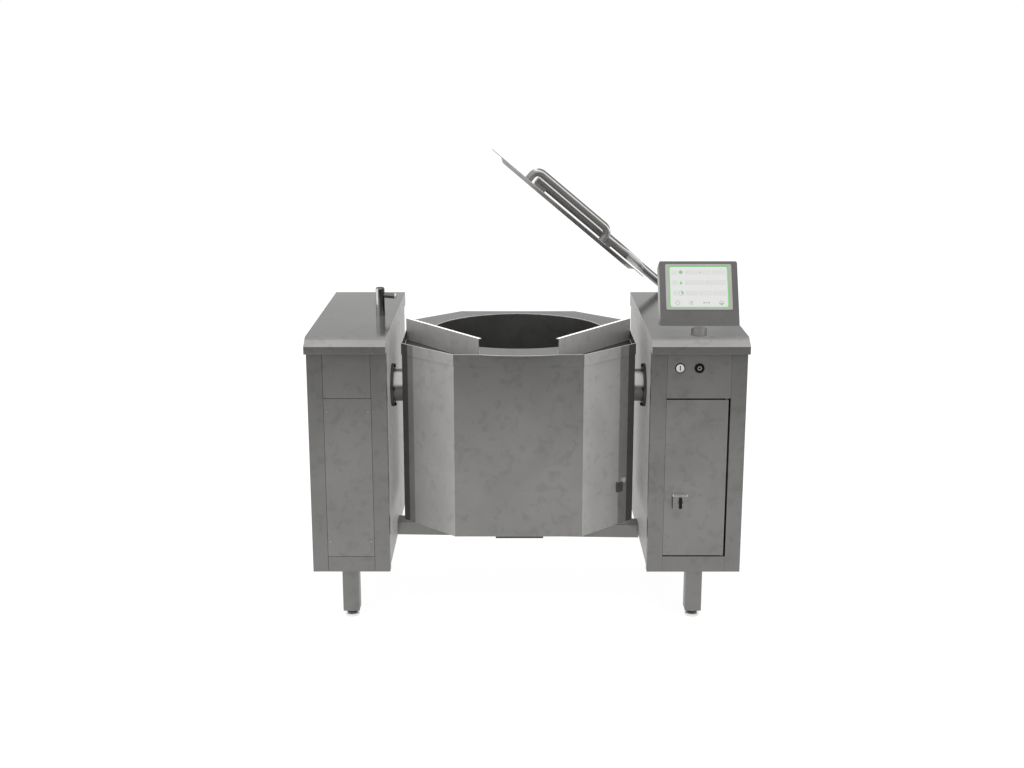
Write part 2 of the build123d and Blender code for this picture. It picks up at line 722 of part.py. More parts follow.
saddle_half = 60.0
saddle_start = 200.0       # saddles reach in past the jacket's outside, where they are cut
saddle_gap = 0.5           # insulation from a saddle
with BuildPart() as kettle_insulation:
    rod((kettle_x, bowl_y, insulation_bottom), (0, 0, 1), jacket_outer + insulation,
        insulation_top - insulation_bottom)
    rod((kettle_x, bowl_y, insulation_bottom - 1), (0, 0, 1), jacket_outer + insulation_gap,
        insulation_top - insulation_bottom + 2, mode=Mode.SUBTRACT)
    for side in (-1, 1):
        edges = sorted((side_x(side, saddle_start), side_x(side, kettle_half_width)))
        block(edges[0], edges[1], trunnion_y - saddle_half - saddle_gap,
              trunnion_y + saddle_half + saddle_gap, trunnion_height - saddle_half - saddle_gap,
              insulation_top + 1, mode=Mode.SUBTRACT)
finish(kettle_insulation, "kettle_insulation")

cladding_hole_gap = 1.0    # cladding from a trunnion's tube
with BuildPart() as kettle_cladding:
    octagon(kettle_bottom_z, tray_bottom - deck_sheet, collar_proud)
    octagon(kettle_bottom_z, tray_bottom - deck_sheet, cladding_inside, mode=Mode.SUBTRACT)
    for side in (-1, 1):
        rod((side_x(side, kettle_half_width - 2 * cladding_inside), trunnion_y, trunnion_height),
            (side, 0, 0), trunnion_radius + cladding_hole_gap, 2 * cladding_inside, mode=Mode.SUBTRACT)
    rod(facet_point(1, plug_along, -plug_cut / 2, plug_height), (facet_y, -facet_x, 0),
        plug_pipe_radius + weld_gap, plug_cut, mode=Mode.SUBTRACT)
    rod((kettle_x - facet_y * valve_radius, bowl_y + facet_x * valve_radius, outlet_height),
        (-facet_y, facet_x, 0), outlet_radius + weld_gap, outlet_length + plug_cut, mode=Mode.SUBTRACT)
finish(kettle_cladding, "kettle_cladding")

# Collar: deck with a round opening and a pouring lip, skirt, and a tray outside each guide
guide_x = cos(radians(guide_angle))
guide_y = sin(radians(guide_angle))


def tray_block(side, shift, inset, z0, z1):
    """The room outside a pouring guide, inside the collar's outline."""
    start_x = tray_front_x + shift
    end_x = kettle_half_width + guide_distance
    line_y = [bowl_y + (guide_x * x - guide_distance - shift) / guide_y for x in (start_x, end_x)]
    octagon(z0, z1, inset)
    with BuildSketch(Plane.XY.offset(z0)) as room:
        with BuildLine():
            Polyline(
                (side_x(side, start_x), line_y[0]),
                (side_x(side, end_x), line_y[1]),
                (side_x(side, end_x), mid_y - beyond),
                (side_x(side, start_x), mid_y - beyond),
                close=True,
            )
        make_face()
    extrude(to_extrude=room.sketch, amount=z1 - z0, mode=Mode.INTERSECT)


collar_pieces = []
for side in (-1, 1):
    with BuildPart() as tray_box:
        tray_block(side, -cladding_sheet, 0, tray_bottom - deck_sheet, rim_height)
    with BuildPart() as tray_room:
        tray_block(side, 0, collar_proud, tray_bottom, rim_height)
    collar_pieces.append((tray_box.part, tray_room.part))

lip_root_y = kettle_front_y + collar_proud / 4
with BuildPart() as kettle_collar:
    octagon(collar_bottom, rim_height, 0)
    octagon(collar_bottom, deck_under, collar_proud, mode=Mode.SUBTRACT)
    for tray_box_part, tray_room_part in collar_pieces:
        add(tray_box_part)
        add(tray_room_part, mode=Mode.SUBTRACT)
    rod((kettle_x, bowl_y, deck_under - 1), (0, 0, 1), bowl_radius, deck_sheet + 2, mode=Mode.SUBTRACT)
    with BuildSketch(Plane.XY.offset(deck_under)):
        with BuildLine():
            ThreePointArc(
                (kettle_x - lip_half_width, lip_root_y),
                (kettle_x, kettle_front_y - lip_reach),
                (kettle_x + lip_half_width, lip_root_y),
            )
            Line((kettle_x + lip_half_width, lip_root_y), (kettle_x - lip_half_width, lip_root_y))
        make_face()
    extrude(amount=deck_sheet)
finish(kettle_collar, "kettle_collar")

# Pouring guides: upright sheets with a flange folded towards the bowl
guide_start = (tray_front_x - guide_distance * guide_x) / guide_y
guide_end = (kettle_half_width - collar_proud - (guide_distance + guide_sheet) * guide_x) / guide_y
with BuildPart() as pouring_guides:
    for side in (-1, 1):
        upright = Plane(
            origin=(side_x(side, guide_distance * guide_x + guide_start * guide_y),
                    bowl_y - guide_distance * guide_y + guide_start * guide_x, 0),
            x_dir=(side * guide_x, -guide_y, 0),
            z_dir=(side * guide_y, guide_x, 0),
        )
        way = upright.y_dir.Z
        with BuildSketch(upright):
            with BuildLine():
                Polyline(
                    (0, way * tray_bottom),
                    (0, way * (rim_height + guide_height - guide_sheet)),
                    (-guide_flange, way * (rim_height + guide_height - guide_sheet)),
                    (-guide_flange, way * (rim_height + guide_height)),
                    (guide_sheet, way * (rim_height + guide_height)),
                    (guide_sheet, way * tray_bottom),
                    close=True,
                )
            make_face()
        extrude(amount=guide_end - guide_start)
finish(pouring_guides, "pouring_guides")

# Bottom cover, heating elements and the box for their leads
with BuildPart() as kettle_bottom:
    octagon(kettle_bottom_z, kettle_bottom_z + cladding_sheet, cladding_inside)
    for x, y, z in stub_places:
        rod((x, y, kettle_bottom_z - 1), (0, 0, 1), stub_radius + weld_gap, 2 * cladding_sheet,
            mode=Mode.SUBTRACT)
finish(kettle_bottom, "kettle_bottom")

with BuildPart() as heating_elements:
    for radius, height, stub in zip(heater_radii, heater_heights, heater_stubs):
        turn = asin(stub / radius)
        with BuildSketch(Plane(origin=(kettle_x, bowl_y, 0), x_dir=(sin(turn), -cos(turn), 0),
                               z_dir=(-cos(turn), -sin(turn), 0))):
            with Locations((radius, height)):
                Circle(heater_tube)
        revolve(axis=bowl_axis, revolution_arc=360 - 2 * degrees(turn))
    for x, y, z in stub_places:
        rod((x, y, kettle_bottom_z - heater_stub_end), (0, 0, 1), stub_radius,
            z - kettle_bottom_z + heater_stub_end)
finish(heating_elements, "heating_elements")

with BuildPart() as junction_box:
    block(kettle_x - box_left, kettle_x + box_right, box_y, box_y + box_depth,
          kettle_bottom_z - box_height, kettle_bottom_z)
    block(kettle_x - box_left + box_sheet, kettle_x + box_right - box_sheet,
          box_y + box_sheet, box_y + box_depth - box_sheet,
          kettle_bottom_z - box_height + box_sheet, kettle_bottom_z, mode=Mode.SUBTRACT)
finish(junction_box, "junction_box")

# Trunnions: a tube, a plate behind the cladding and a hollow saddle on the jacket
cladding_inner_d = kettle_half_width - cladding_inside
plate_inner_d = cladding_inner_d - trunnion_plate
saddle_wall = 8.0
trunnion_past_bearing = 12.0
trunnion_past_gear = 3.5
trunnion_end = {-1: bearing_end + trunnion_past_bearing, 1: gear_d + gear_width + trunnion_past_gear}
for side, name in ((-1, "left_trunnion"), (1, "right_trunnion")):
    plate_x = sorted((side_x(side, plate_inner_d), side_x(side, cladding_inner_d)))
    saddle_x = sorted((side_x(side, saddle_start), side_x(side, plate_inner_d)))
    half_plate = trunnion_plate_width / 2
    with BuildPart() as trunnion:
        tube_block(saddle_x[0], saddle_x[1], trunnion_y - saddle_half, trunnion_y + saddle_half,
                   trunnion_height - saddle_half, trunnion_height + saddle_half, saddle_wall, "x")
        block(plate_x[0], plate_x[1], trunnion_y - half_plate, trunnion_y + half_plate,
              trunnion_height - half_plate, trunnion_height + half_plate)
        rod((kettle_x, bowl_y, trunnion_height - half_plate - 1), (0, 0, 1), jacket_outer + weld_gap,
            2 * half_plate + 2, mode=Mode.SUBTRACT)
        rod((side_x(side, plate_inner_d), trunnion_y, trunnion_height), (side, 0, 0),
            trunnion_radius, trunnion_end[side] - plate_inner_d)
        rod((side_x(side, plate_inner_d - 1), trunnion_y, trunnion_height), (side, 0, 0),
            trunnion_bore, trunnion_end[side] - plate_inner_d + 2, mode=Mode.SUBTRACT)
    finish(trunnion, name)


# Tilt gear and pinion
def gear_outline(teeth, tip_radius, root_radius, turn):
    """Corner points of a spur gear with involute flanks, one tooth centred on the turn angle."""
    pitch_radius = gear_module * teeth / 2
    base_radius = pitch_radius * cos(radians(pressure_angle))
    half_tooth = (pi * gear_module / 2 - gear_backlash / 2) / 2 / pitch_radius
    involute_at_pitch = tan(radians(pressure_angle)) - radians(pressure_angle)
    flank_start = max(base_radius, root_radius)
    points = []
    for tooth in range(teeth):
        centre = radians(turn) + 2 * pi * tooth / teeth
        flank = []
        for step in range(5):
            radius = flank_start + (tip_radius - flank_start) * step / 4
            rolled = sqrt(max((radius / base_radius) ** 2 - 1, 0))
            half = half_tooth + involute_at_pitch - (rolled - atan2(rolled, 1))
            flank.append((radius, half))
        if root_radius < flank_start:
            flank.insert(0, (root_radius, flank[0][1]))
        points += [(r * cos(centre - half), r * sin(centre - half)) for r, half in flank]
        points += [(r * cos(centre + half), r * sin(centre + half)) for r, half in reversed(flank)]
    return points


gear_holes_radius = 82.0
gear_hole_radius = 16.0
gear_addendum = 0.88
gear_dedendum = 1.2
gear_mesh_turn = pinion_direction - 180 / gear_teeth
with BuildPart() as tilt_gear:
    with BuildSketch(Plane(origin=(side_x(1, gear_d), trunnion_y, trunnion_height), x_dir=(0, 1, 0),
                           z_dir=(1, 0, 0))):
        pitch = gear_module * gear_teeth / 2
        with BuildLine():
            Polyline(*gear_outline(gear_teeth, pitch + gear_addendum * gear_module,
                                   pitch - gear_dedendum * gear_module, gear_mesh_turn), close=True)
        make_face()
        Circle(trunnion_radius + weld_gap, mode=Mode.SUBTRACT)
        with PolarLocations(gear_holes_radius, 6):
            Circle(gear_hole_radius, mode=Mode.SUBTRACT)
    extrude(amount=gear_width)
finish(tilt_gear, "tilt_gear")

gearbox_d = motor_plate_d + motor_plate
gearbox_bore_depth = 34.0
pinion_end_gap = 4.0       # pinion's shaft from the bottom of its bore
pinion_overhang = 1.0      # pinion's teeth beyond the gear's, on each side
pinion_start = 3.0         # pinion's shaft ahead of the gear
motor_box_start = 20.0     # terminal box on the motor
motor_box_end = 80.0
motor_box_half = 25.0
motor_box_proud = 20.0
with BuildPart() as tilt_pinion:
    with BuildSketch(Plane(origin=(side_x(1, gear_d - pinion_overhang), pinion_y, pinion_z), x_dir=(0, 1, 0),
                           z_dir=(1, 0, 0))):
        pitch = gear_module * pinion_teeth / 2
        with BuildLine():
            Polyline(*gear_outline(pinion_teeth, pitch + gear_addendum * gear_module,
                                   pitch - gear_dedendum * gear_module, pinion_direction + 180),
                     close=True)
        make_face()
    extrude(amount=gear_width + 2 * pinion_overhang)
    rod((side_x(1, gear_d - pinion_start), pinion_y, pinion_z), (1, 0, 0), pinion_bore,
        gearbox_d + gearbox_bore_depth - pinion_end_gap - gear_d + pinion_start)
finish(tilt_pinion, "tilt_pinion")

with BuildPart() as gear_motor:
    block(side_x(1, gearbox_d), side_x(1, gearbox_d + gearbox_length), pinion_y - gearbox_size / 2,
          pinion_y + gearbox_size / 2, pinion_z - gearbox_size / 2, pinion_z + gearbox_size / 2)
    rod((side_x(1, gearbox_d + gearbox_length), pinion_y, pinion_z), (1, 0, 0), motor_radius, motor_length)
    block(side_x(1, gearbox_d + gearbox_length + motor_box_start),
          side_x(1, gearbox_d + gearbox_length + motor_box_end),
          pinion_y - motor_box_half, pinion_y + motor_box_half, pinion_z,
          pinion_z + motor_radius + motor_box_proud)
    rod((side_x(1, gearbox_d - 1), pinion_y, pinion_z), (1, 0, 0),
        pinion_bore + running_clearance, gearbox_bore_depth + 1, mode=Mode.SUBTRACT)
finish(gear_motor, "gear_motor")

# Safety valve on the jacket's top ring, its outlet through the cladding
valve_pipe_radius = 7.0
valve_pipe_length = 20.0
valve_body_start = 15.0    # valve's body above the jacket's top ring
valve_body_length = 36.0
valve_cap_across = 14.0
valve_cap_height = 8.0
with BuildPart() as safety_valve:
    valve_x = kettle_x - facet_y * valve_radius
    valve_y = bowl_y + facet_x * valve_radius
    rod((valve_x, valve_y, jacket_top), (0, 0, 1), valve_pipe_radius, valve_pipe_length)
    rod((valve_x, valve_y, jacket_top + valve_body_start), (0, 0, 1), valve_body_radius,
        valve_body_length)
    hexagon((valve_x, valve_y, jacket_top + valve_body_start + valve_body_length), (0, 0, 1),
            valve_cap_across, valve_cap_height)
    rod((valve_x, valve_y, outlet_height), (-facet_y, facet_x, 0), outlet_radius, outlet_length)
finish(safety_valve, "safety_valve")

# Level plug of the jacket, on the right front facet
cap_along = 181.0          # small round cap beside the plug
cap_above = 17.0
cap_height = plug_height + cap_above
cap_radius = 8.5
cap_deep = 6.0
with BuildPart() as jacket_plug:
    face = Plane(origin=facet_point(1, plug_along, 0, plug_height), x_dir=(facet_x, facet_y, 0),
                 z_dir=(facet_y, -facet_x, 0))
    with BuildSketch(face):
        Rectangle(plug_width, plug_tall)
    extrude(amount=plug_deep)
    rod(facet_point(1, cap_along, 0, cap_height), (facet_y, -facet_x, 0), cap_radius, cap_deep)
    rod(facet_point(1, plug_along, 1, plug_height), (-facet_y, facet_x, 0), plug_pipe_radius, plug_reach)
    vessel(jacket_outer + weld_gap, jacket_top, jacket_dish + jacket_wall + weld_gap, mode=Mode.SUBTRACT)
finish(jacket_plug, "jacket_plug")

# Lid: built in the plane of the lid, with the hinge as its origin
lid_turn = radians(lid_open)
hinge = (hinge_x, hinge_y, hinge_height)
lid_plane = Plane(
    origin=hinge,
    x_dir=(lid_cos * cos(lid_turn), lid_sin * cos(lid_turn), -sin(lid_turn)),
    z_dir=(lid_cos * sin(lid_turn), lid_sin * sin(lid_turn), cos(lid_turn)),
)
bowl_from_hinge_x = kettle_x - hinge_x
bowl_from_hinge_y = bowl_y - hinge_y
lid_centre_e = bowl_from_hinge_x * lid_cos + bowl_from_hinge_y * lid_sin
lid_centre_a = bowl_from_hinge_y * lid_cos - bowl_from_hinge_x * lid_sin
lid_underside = rim_height + lid_gap - hinge_height


def lid_point(e, a, n):
    """A point given from the lid's centre, along and across the lid, and up from the hinge's plane."""
    return lid_plane.from_local_coords((lid_centre_e + e, lid_centre_a + a, n))


lid_axis = Axis(lid_point(0, 0, 0), lid_plane.z_dir)
lid_flat = guide_distance - guide_flange - lid_guide_gap
dish_floor = lid_underside - lid_dish_depth
with BuildPart() as lid_plate:
    with BuildSketch(Plane(origin=lid_point(0, 0, 0), x_dir=lid_plane.x_dir, z_dir=-lid_plane.y_dir)):
        with BuildLine():
            Polyline(
                (0, dish_floor),
                (lid_dish_floor_radius, dish_floor),
                (lid_dish_radius, lid_underside),
                (lid_radius, lid_underside),
                (lid_radius, lid_underside + lid_sheet),
                (lid_dish_radius, lid_underside + lid_sheet),
                (lid_dish_floor_radius, dish_floor + lid_sheet),
                (0, dish_floor + lid_sheet),
                close=True,
            )
        make_face()
    revolve(axis=lid_axis)
    for angle in (-guide_angle, guide_angle - 180):
        turn = angle - lid_yaw
        middle = lid_flat + lid_radius / 2
        with BuildSketch(Plane(origin=lid_point(0, 0, 0), x_dir=lid_plane.x_dir, z_dir=lid_plane.z_dir)):
            with Locations(Location((middle * cos(radians(turn)), middle * sin(radians(turn))), turn)):
                Rectangle(lid_radius, 2 * lid_radius)
        extrude(amount=lid_underside + 2 * lid_sheet, mode=Mode.SUBTRACT)
finish(lid_plate, "lid_plate")

# Lid arm: a tube bent in the lid's plane, two feet on the lid, a post and a hub at the hinge
arm_level = lid_underside + arm_rise
arm_start = -142.0
arm_bend = (215.0, 0.0)
arm_corner = (380.0, 410.0)
arm_bend_radius = 70.0
arm_cap = 4.0
hub_e = -lid_centre_e
hub_a = -lid_centre_a
foot_places = (-120.0, 150.0)
foot_long = 40.0
foot_wide = 24.0
arm_plane = Plane(origin=lid_point(0, 0, arm_level), x_dir=lid_plane.x_dir, z_dir=lid_plane.z_dir)
first_start = Plane(origin=lid_point(arm_start, 0, arm_level), z_dir=lid_plane.x_dir)
inner_start = Plane(origin=lid_point(arm_start + arm_cap, 0, arm_level), z_dir=lid_plane.x_dir)


def arm_sweep(start_e, start_plane, radius, mode=Mode.ADD):
    """Sweeps a round section along the arm's path."""
    with BuildLine(arm_plane) as path:
        FilletPolyline((start_e, 0), arm_bend, arm_corner, (hub_e, hub_a), radius=arm_bend_radius)
    with BuildSketch(start_plane) as section:
        Circle(radius)
    sweep(sections=section.sketch, path=path.line, mode=mode)


with BuildPart() as lid_arm:
    arm_sweep(arm_start, first_start, arm_radius)
    for e in foot_places:
        with BuildSketch(Plane(origin=lid_point(e, 0, dish_floor + lid_sheet), x_dir=lid_plane.x_dir,
                               z_dir=lid_plane.z_dir)):
            Rectangle(foot_long, foot_wide)
        extrude(amount=arm_level - dish_floor - lid_sheet)
    rod(lid_point(hub_e, hub_a, 0), lid_plane.z_dir, arm_radius, arm_level)
    with Locations(lid_point(hub_e, hub_a, arm_level)):
        Sphere(arm_radius)
    rod(lid_point(hub_e, hub_a - hinge_hub_length / 2, 0), lid_plane.y_dir, hinge_hub_radius,
        hinge_hub_length)
    arm_sweep(arm_start + arm_cap, inner_start, arm_radius - arm_wall, mode=Mode.SUBTRACT)
    rod(lid_point(hub_e, hub_a - hinge_hub_length / 2 - 1, 0), lid_plane.y_dir, shaft_radius + weld_gap,
        hinge_hub_length + 2, mode=Mode.SUBTRACT)
finish(lid_arm, "lid_arm")

# Lid handle: a bow beside the arm
handle_level = lid_underside + handle_rise
handle_bend = 25.0
with BuildPart() as lid_handle:
    bow_plane = Plane(origin=lid_point(0, handle_side, 0), x_dir=lid_plane.x_dir, z_dir=-lid_plane.y_dir)
    with BuildLine(bow_plane) as bow:
        FilletPolyline(
            (handle_front, dish_floor + lid_sheet),
            (handle_front, handle_level),
            (handle_back, handle_level),
            (handle_back, dish_floor + lid_sheet),
            radius=handle_bend,
        )
    with BuildSketch(Plane(origin=lid_point(handle_front, handle_side, dish_floor + lid_sheet),
                           z_dir=lid_plane.z_dir)):
        Circle(handle_radius)
    sweep(path=bow.line)
    for e in (handle_front, handle_back):
        rod(lid_point(e, handle_side, dish_floor + lid_sheet), lid_plane.z_dir, handle_pad_radius,
            handle_pad)
finish(lid_handle, "lid_handle")

# Lid shaft, and the bearing that carries it behind the right pedestal
collar_place = 150.0       # collar on the shaft, from the hub's middle
collar_radius = 22.0
collar_long = 10.0
with BuildPart() as lid_shaft:
    rod(lid_point(hub_e, hub_a + hinge_hub_length / 2, 0), -lid_plane.y_dir, shaft_radius,
        hinge_hub_length / 2 + shaft_inside)
    rod(lid_point(hub_e, hub_a - collar_place + collar_long / 2, 0), -lid_plane.y_dir, collar_radius,
        collar_long)
finish(lid_shaft, "lid_shaft")

lid_bearing_radius = 26.0
bearing_start = 23.0
bearing_reach = 80.0       # bearing's tube past the casing's back, where it is cut
bearing_foot_size = 110.0
bearing_foot_top = hinge_height + lid_bearing_radius
bearing_foot_sheet = 10.0
with BuildPart() as lid_bearing:
    rod(lid_point(hub_e, hub_a - bearing_start, 0), -lid_plane.y_dir, lid_bearing_radius, bearing_reach)
    block(shaft_entry[0] - bearing_foot_size / 2, shaft_entry[0] + bearing_foot_size / 2,
          back_y, back_y + bearing_foot_sheet, bearing_foot_top - bearing_foot_size, bearing_foot_top)
    block(hinge_x - beyond, hinge_x + beyond, back_y - beyond, back_y, hinge_height - beyond,
          hinge_height + beyond, mode=Mode.SUBTRACT)
    rod(lid_point(hub_e, hub_a, 0), -lid_plane.y_dir, shaft_radius + running_clearance, beyond,
        mode=Mode.SUBTRACT)
finish(lid_bearing, "lid_bearing")

# Tap on the left worktop
tap_x = side_x(-1, half_gap + tap_inset)
tap_y = mid_y - tap_ahead
tap_gap = 0.3
spigot_radius = 9.0
spigot_height = 30.0
tap_stem_length = 40.0     # tap's stem below the worktop
tap_stem_bottom = worktop_height - tap_stem_length
tap_foot_proud = 5.0
tap_foot_height = 4.0
split_z = worktop_height + tap_split
with BuildPart() as tap_post:
    rod((tap_x, tap_y, worktop_height), (0, 0, 1), tap_radius + tap_foot_proud, tap_foot_height)
    rod((tap_x, tap_y, worktop_height), (0, 0, 1), tap_radius, tap_split)
    rod((tap_x, tap_y, split_z), (0, 0, 1), spigot_radius, spigot_height)
    rod((tap_x, tap_y, tap_stem_bottom), (0, 0, 1), spout_radius, worktop_height - tap_stem_bottom)
finish(tap_post, "tap_post")

spout_slope = hypot(spout_reach, spout_fall)
spout_direction = (spout_reach / spout_slope, 0, -spout_fall / spout_slope)
with BuildPart() as tap_spout:
    rod((tap_x, tap_y, split_z + tap_gap), (0, 0, 1), tap_radius, tap_height - tap_split - tap_gap)
    rod((tap_x, tap_y, worktop_height + spout_height), spout_direction, spout_radius, spout_slope)
    rod((tap_x, tap_y, worktop_height + spout_height), spout_direction, spout_bore, spout_slope + 1,
        mode=Mode.SUBTRACT)
    rod((tap_x, tap_y, split_z), (0, 0, 1), spigot_radius + running_clearance,
        spigot_height + tap_gap, mode=Mode.SUBTRACT)
finish(tap_spout, "tap_spout")

# Water supply inside the left pedestal
valve_rise = 191.0         # water valve above the pedestals' bottom
valve_height = 60.0
valve_half = 25.0
valve_bottom = body_bottom + valve_rise
valve_top = valve_bottom + valve_height
valve_back = tap_y + valve_half
coil_radius = 16.0
coil_length = 45.0
pipe_radius = 7.0
pipe_bend = 25.0
with BuildPart() as water_valve:
    block(tap_x - valve_half, tap_x + valve_half, plate_back[-1], valve_back, valve_bottom, valve_top)
    rod((tap_x - valve_half, tap_y, (valve_bottom + valve_top) / 2), (-1, 0, 0), coil_radius, coil_length)
finish(water_valve, "water_valve")

inlet_inside = 12.0
inlet_outside = 18.0
with BuildPart() as water_pipe:
    rod((tap_x, tap_y, valve_top), (0, 0, 1), pipe_radius, tap_stem_bottom - valve_top)
    with BuildLine(Plane.YZ.offset(tap_x)) as supply:
        FilletPolyline(
            (tap_y, valve_bottom),
            (tap_y, inlet_z),
            (back_y - inlet_inside, inlet_z),
            radius=pipe_bend,
        )
    with BuildSketch(Plane(origin=(tap_x, tap_y, valve_bottom), z_dir=(0, 0, -1))):
        Circle(pipe_radius)
    sweep(path=supply.line)
finish(water_pipe, "water_pipe")

inlet_nut = 27.0
inlet_nut_height = 8.0
inlet_collar_radius = 15.0
inlet_collar = 3.0
with BuildPart() as water_inlet:
    rod((inlet_x, back_y - inlet_inside, inlet_z), (0, 1, 0), inlet_radius, inlet_inside + inlet_outside)
    hexagon((inlet_x, back_y - casing_sheet, inlet_z), (0, -1, 0), inlet_nut, inlet_nut_height)
    rod((inlet_x, back_y, inlet_z), (0, 1, 0), inlet_collar_radius, inlet_collar)
    rod((inlet_x, back_y - inlet_inside + inlet_collar, inlet_z), (0, 1, 0), inlet_bore,
        inlet_inside + inlet_outside, mode=Mode.SUBTRACT)
finish(water_inlet, "water_inlet")

# Cable gland and control box of the right pedestal
gland_nut = 27.0
gland_inside = 9.0         # gland's thread behind the casing's wall and outside it
gland_outside = 10.0
gland_nut_inside = 5.0
gland_nut_outside = 8.0
with BuildPart() as cable_gland:
    rod((gland_x, back_y - casing_sheet - gland_inside, gland_z), (0, 1, 0), gland_thread_radius,
        gland_inside + casing_sheet + gland_outside)
    hexagon((gland_x, back_y - casing_sheet, gland_z), (0, -1, 0), gland_nut, gland_nut_inside)
    hexagon((gland_x, back_y, gland_z), (0, 1, 0), gland_nut, gland_nut_outside)
    rod((gland_x, back_y - beyond, gland_z), (0, 1, 0), gland_bore, 2 * beyond, mode=Mode.SUBTRACT)
finish(cable_gland, "cable_gland")

control_depth = 110.0
control_front = 60.0
control_width = 200.0
control_rise = 241.0       # control box above the pedestals' bottom
control_height = 300.0
control_wall = 2.0
control_back = control_front + control_width
control_bottom = body_bottom + control_rise
control_top = control_bottom + control_height
entry_radius = 10.0        # cable entries under the control box
entry_pitch = 40.0
entry_first = 60.0
with BuildPart() as control_box:
    box_outer = side_x(1, outer_d(1) - casing_sheet)
    block(box_outer - control_depth, box_outer, mid_y + control_front, mid_y + control_back,
          control_bottom, control_top)
    block(box_outer - control_depth + control_wall, box_outer - control_wall,
          mid_y + control_front + control_wall, mid_y + control_back - control_wall,
          control_bottom + control_wall, control_top - control_wall, mode=Mode.SUBTRACT)
    for entry in range(3):
        entry_y = mid_y + control_front + entry_first + entry * entry_pitch
        rod((box_outer - control_depth / 2, entry_y, control_bottom - control_wall), (0, 0, 1),
            entry_radius, 3 * control_wall, mode=Mode.SUBTRACT)
finish(control_box, "control_box")

# Touch panel: its plane lies in the face, with the lower edge's middle as origin
lean = radians(housing_lean)
face_x = side_x(1, half_gap + housing_aside)
panel_plane = Plane(
    origin=(face_x, lip_front_y + housing_setback, housing_bottom),
    x_dir=(1, 0, 0),
    z_dir=(0, -cos(lean), sin(lean)),
)
housing_wall = 2.0
housing_corner = 6.0
neck_x = side_x(1, half_gap + neck_aside)
neck_y = lip_front_y + neck_setback


def panel_box(low_x, high_x, low_y, high_y, depth, front=0.0, corner=0.0, mode=Mode.ADD):
    """A box given in the plane of the touch panel's face."""
    start = panel_plane.offset(front)
    with BuildSketch(start) as section:
        with Locations(((low_x + high_x) / 2, (low_y + high_y) / 2)):
            if corner:
                RectangleRounded(high_x - low_x, high_y - low_y, corner)
            else:
                Rectangle(high_x - low_x, high_y - low_y)
    extrude(to_extrude=section.sketch, amount=-depth, mode=mode)


half_housing = housing_width / 2
inner_half = half_housing - housing_wall
with BuildPart() as panel_housing:
    panel_box(-half_housing, half_housing, 0, housing_height, housing_depth, corner=housing_corner)
    panel_box(-inner_half, inner_half, housing_wall, housing_height - housing_wall,
              housing_depth - housing_wall + 1, front=-housing_wall, corner=housing_corner - housing_wall,
              mode=Mode.SUBTRACT)
    rod((neck_x, neck_y, worktop_height), (0, 0, 1), cable_hole, housing_rise + housing_depth / 2,
        mode=Mode.SUBTRACT)
finish(panel_housing, "panel_housing")

with BuildPart() as panel_back_cover:
    panel_box(-inner_half + weld_gap, inner_half - weld_gap, housing_wall + weld_gap,
              housing_height - housing_wall - weld_gap, housing_wall, front=housing_wall - housing_depth,
              corner=housing_corner - housing_wall)
finish(panel_back_cover, "panel_back_cover")

neck_length = 80.0         # more than the neck needs, it is cut where the housing starts
neck_foot_proud = 7.0
neck_foot_height = 3.0
with BuildPart() as panel_neck:
    rod((neck_x, neck_y, worktop_height), (0, 0, 1), neck_radius, neck_length)
    rod((neck_x, neck_y, worktop_height), (0, 0, 1), neck_radius + neck_foot_proud, neck_foot_height)
    rod((neck_x, neck_y, worktop_height - 1), (0, 0, 1), cable_hole, neck_length + 2,
        mode=Mode.SUBTRACT)
    panel_box(-beyond, beyond, 0, beyond, 2 * beyond, front=beyond, mode=Mode.SUBTRACT)
finish(panel_neck, "panel_neck")

bezel_top = housing_height - bezel_drop
bezel_middle = bezel_top - bezel_height / 2
bezel_corner = 5.0
with BuildPart() as screen_bezel:
    panel_box(-bezel_width / 2, bezel_width / 2, bezel_top - bezel_height, bezel_top,
              bezel_thickness, front=bezel_thickness, corner=bezel_corner)
    panel_box(-screen_width / 2, screen_width / 2, bezel_middle - screen_height / 2,
              bezel_middle + screen_height / 2, bezel_thickness, front=bezel_thickness,
              mode=Mode.SUBTRACT)
finish(screen_bezel, "screen_bezel")

with BuildPart() as touch_screen:
    panel_box(-screen_width / 2, screen_width / 2, bezel_middle - screen_height / 2,
              bezel_middle + screen_height / 2, screen_thickness, front=screen_thickness)
finish(touch_screen, "touch_screen")

# Start and stop buttons in their rings
button_length = 30.0
button_edge = 0.8
barrel_floor = 4.0
spring_room = 7.0          # left for the spring when a button is pushed in
barrel_length = button_length - button_proud + button_travel + spring_room + barrel_floor
with BuildPart() as button_rings:
    for button_x in button_places:
        rod((button_x, front_y, button_height), (0, -1, 0), button_ring_radius, button_ring_depth)
        rod((button_x, front_y, button_height), (0, 1, 0), barrel_radius, barrel_length)
        rod((button_x, front_y - button_ring_depth - 1, button_height), (0, 1, 0),
            button_radius + button_clearance, barrel_length + button_ring_depth + 1 - barrel_floor,
            mode=Mode.SUBTRACT)
finish(button_rings, "button_rings")

for button_x, name in zip(button_places, ("start_button", "stop_button")):
    with BuildPart() as button:
        rod((button_x, front_y - button_proud, button_height), (0, 1, 0), button_radius, button_length)
        chamfer(button.faces().sort_by(Axis.Y)[0].edges(), button_edge)
    finish(button, name)

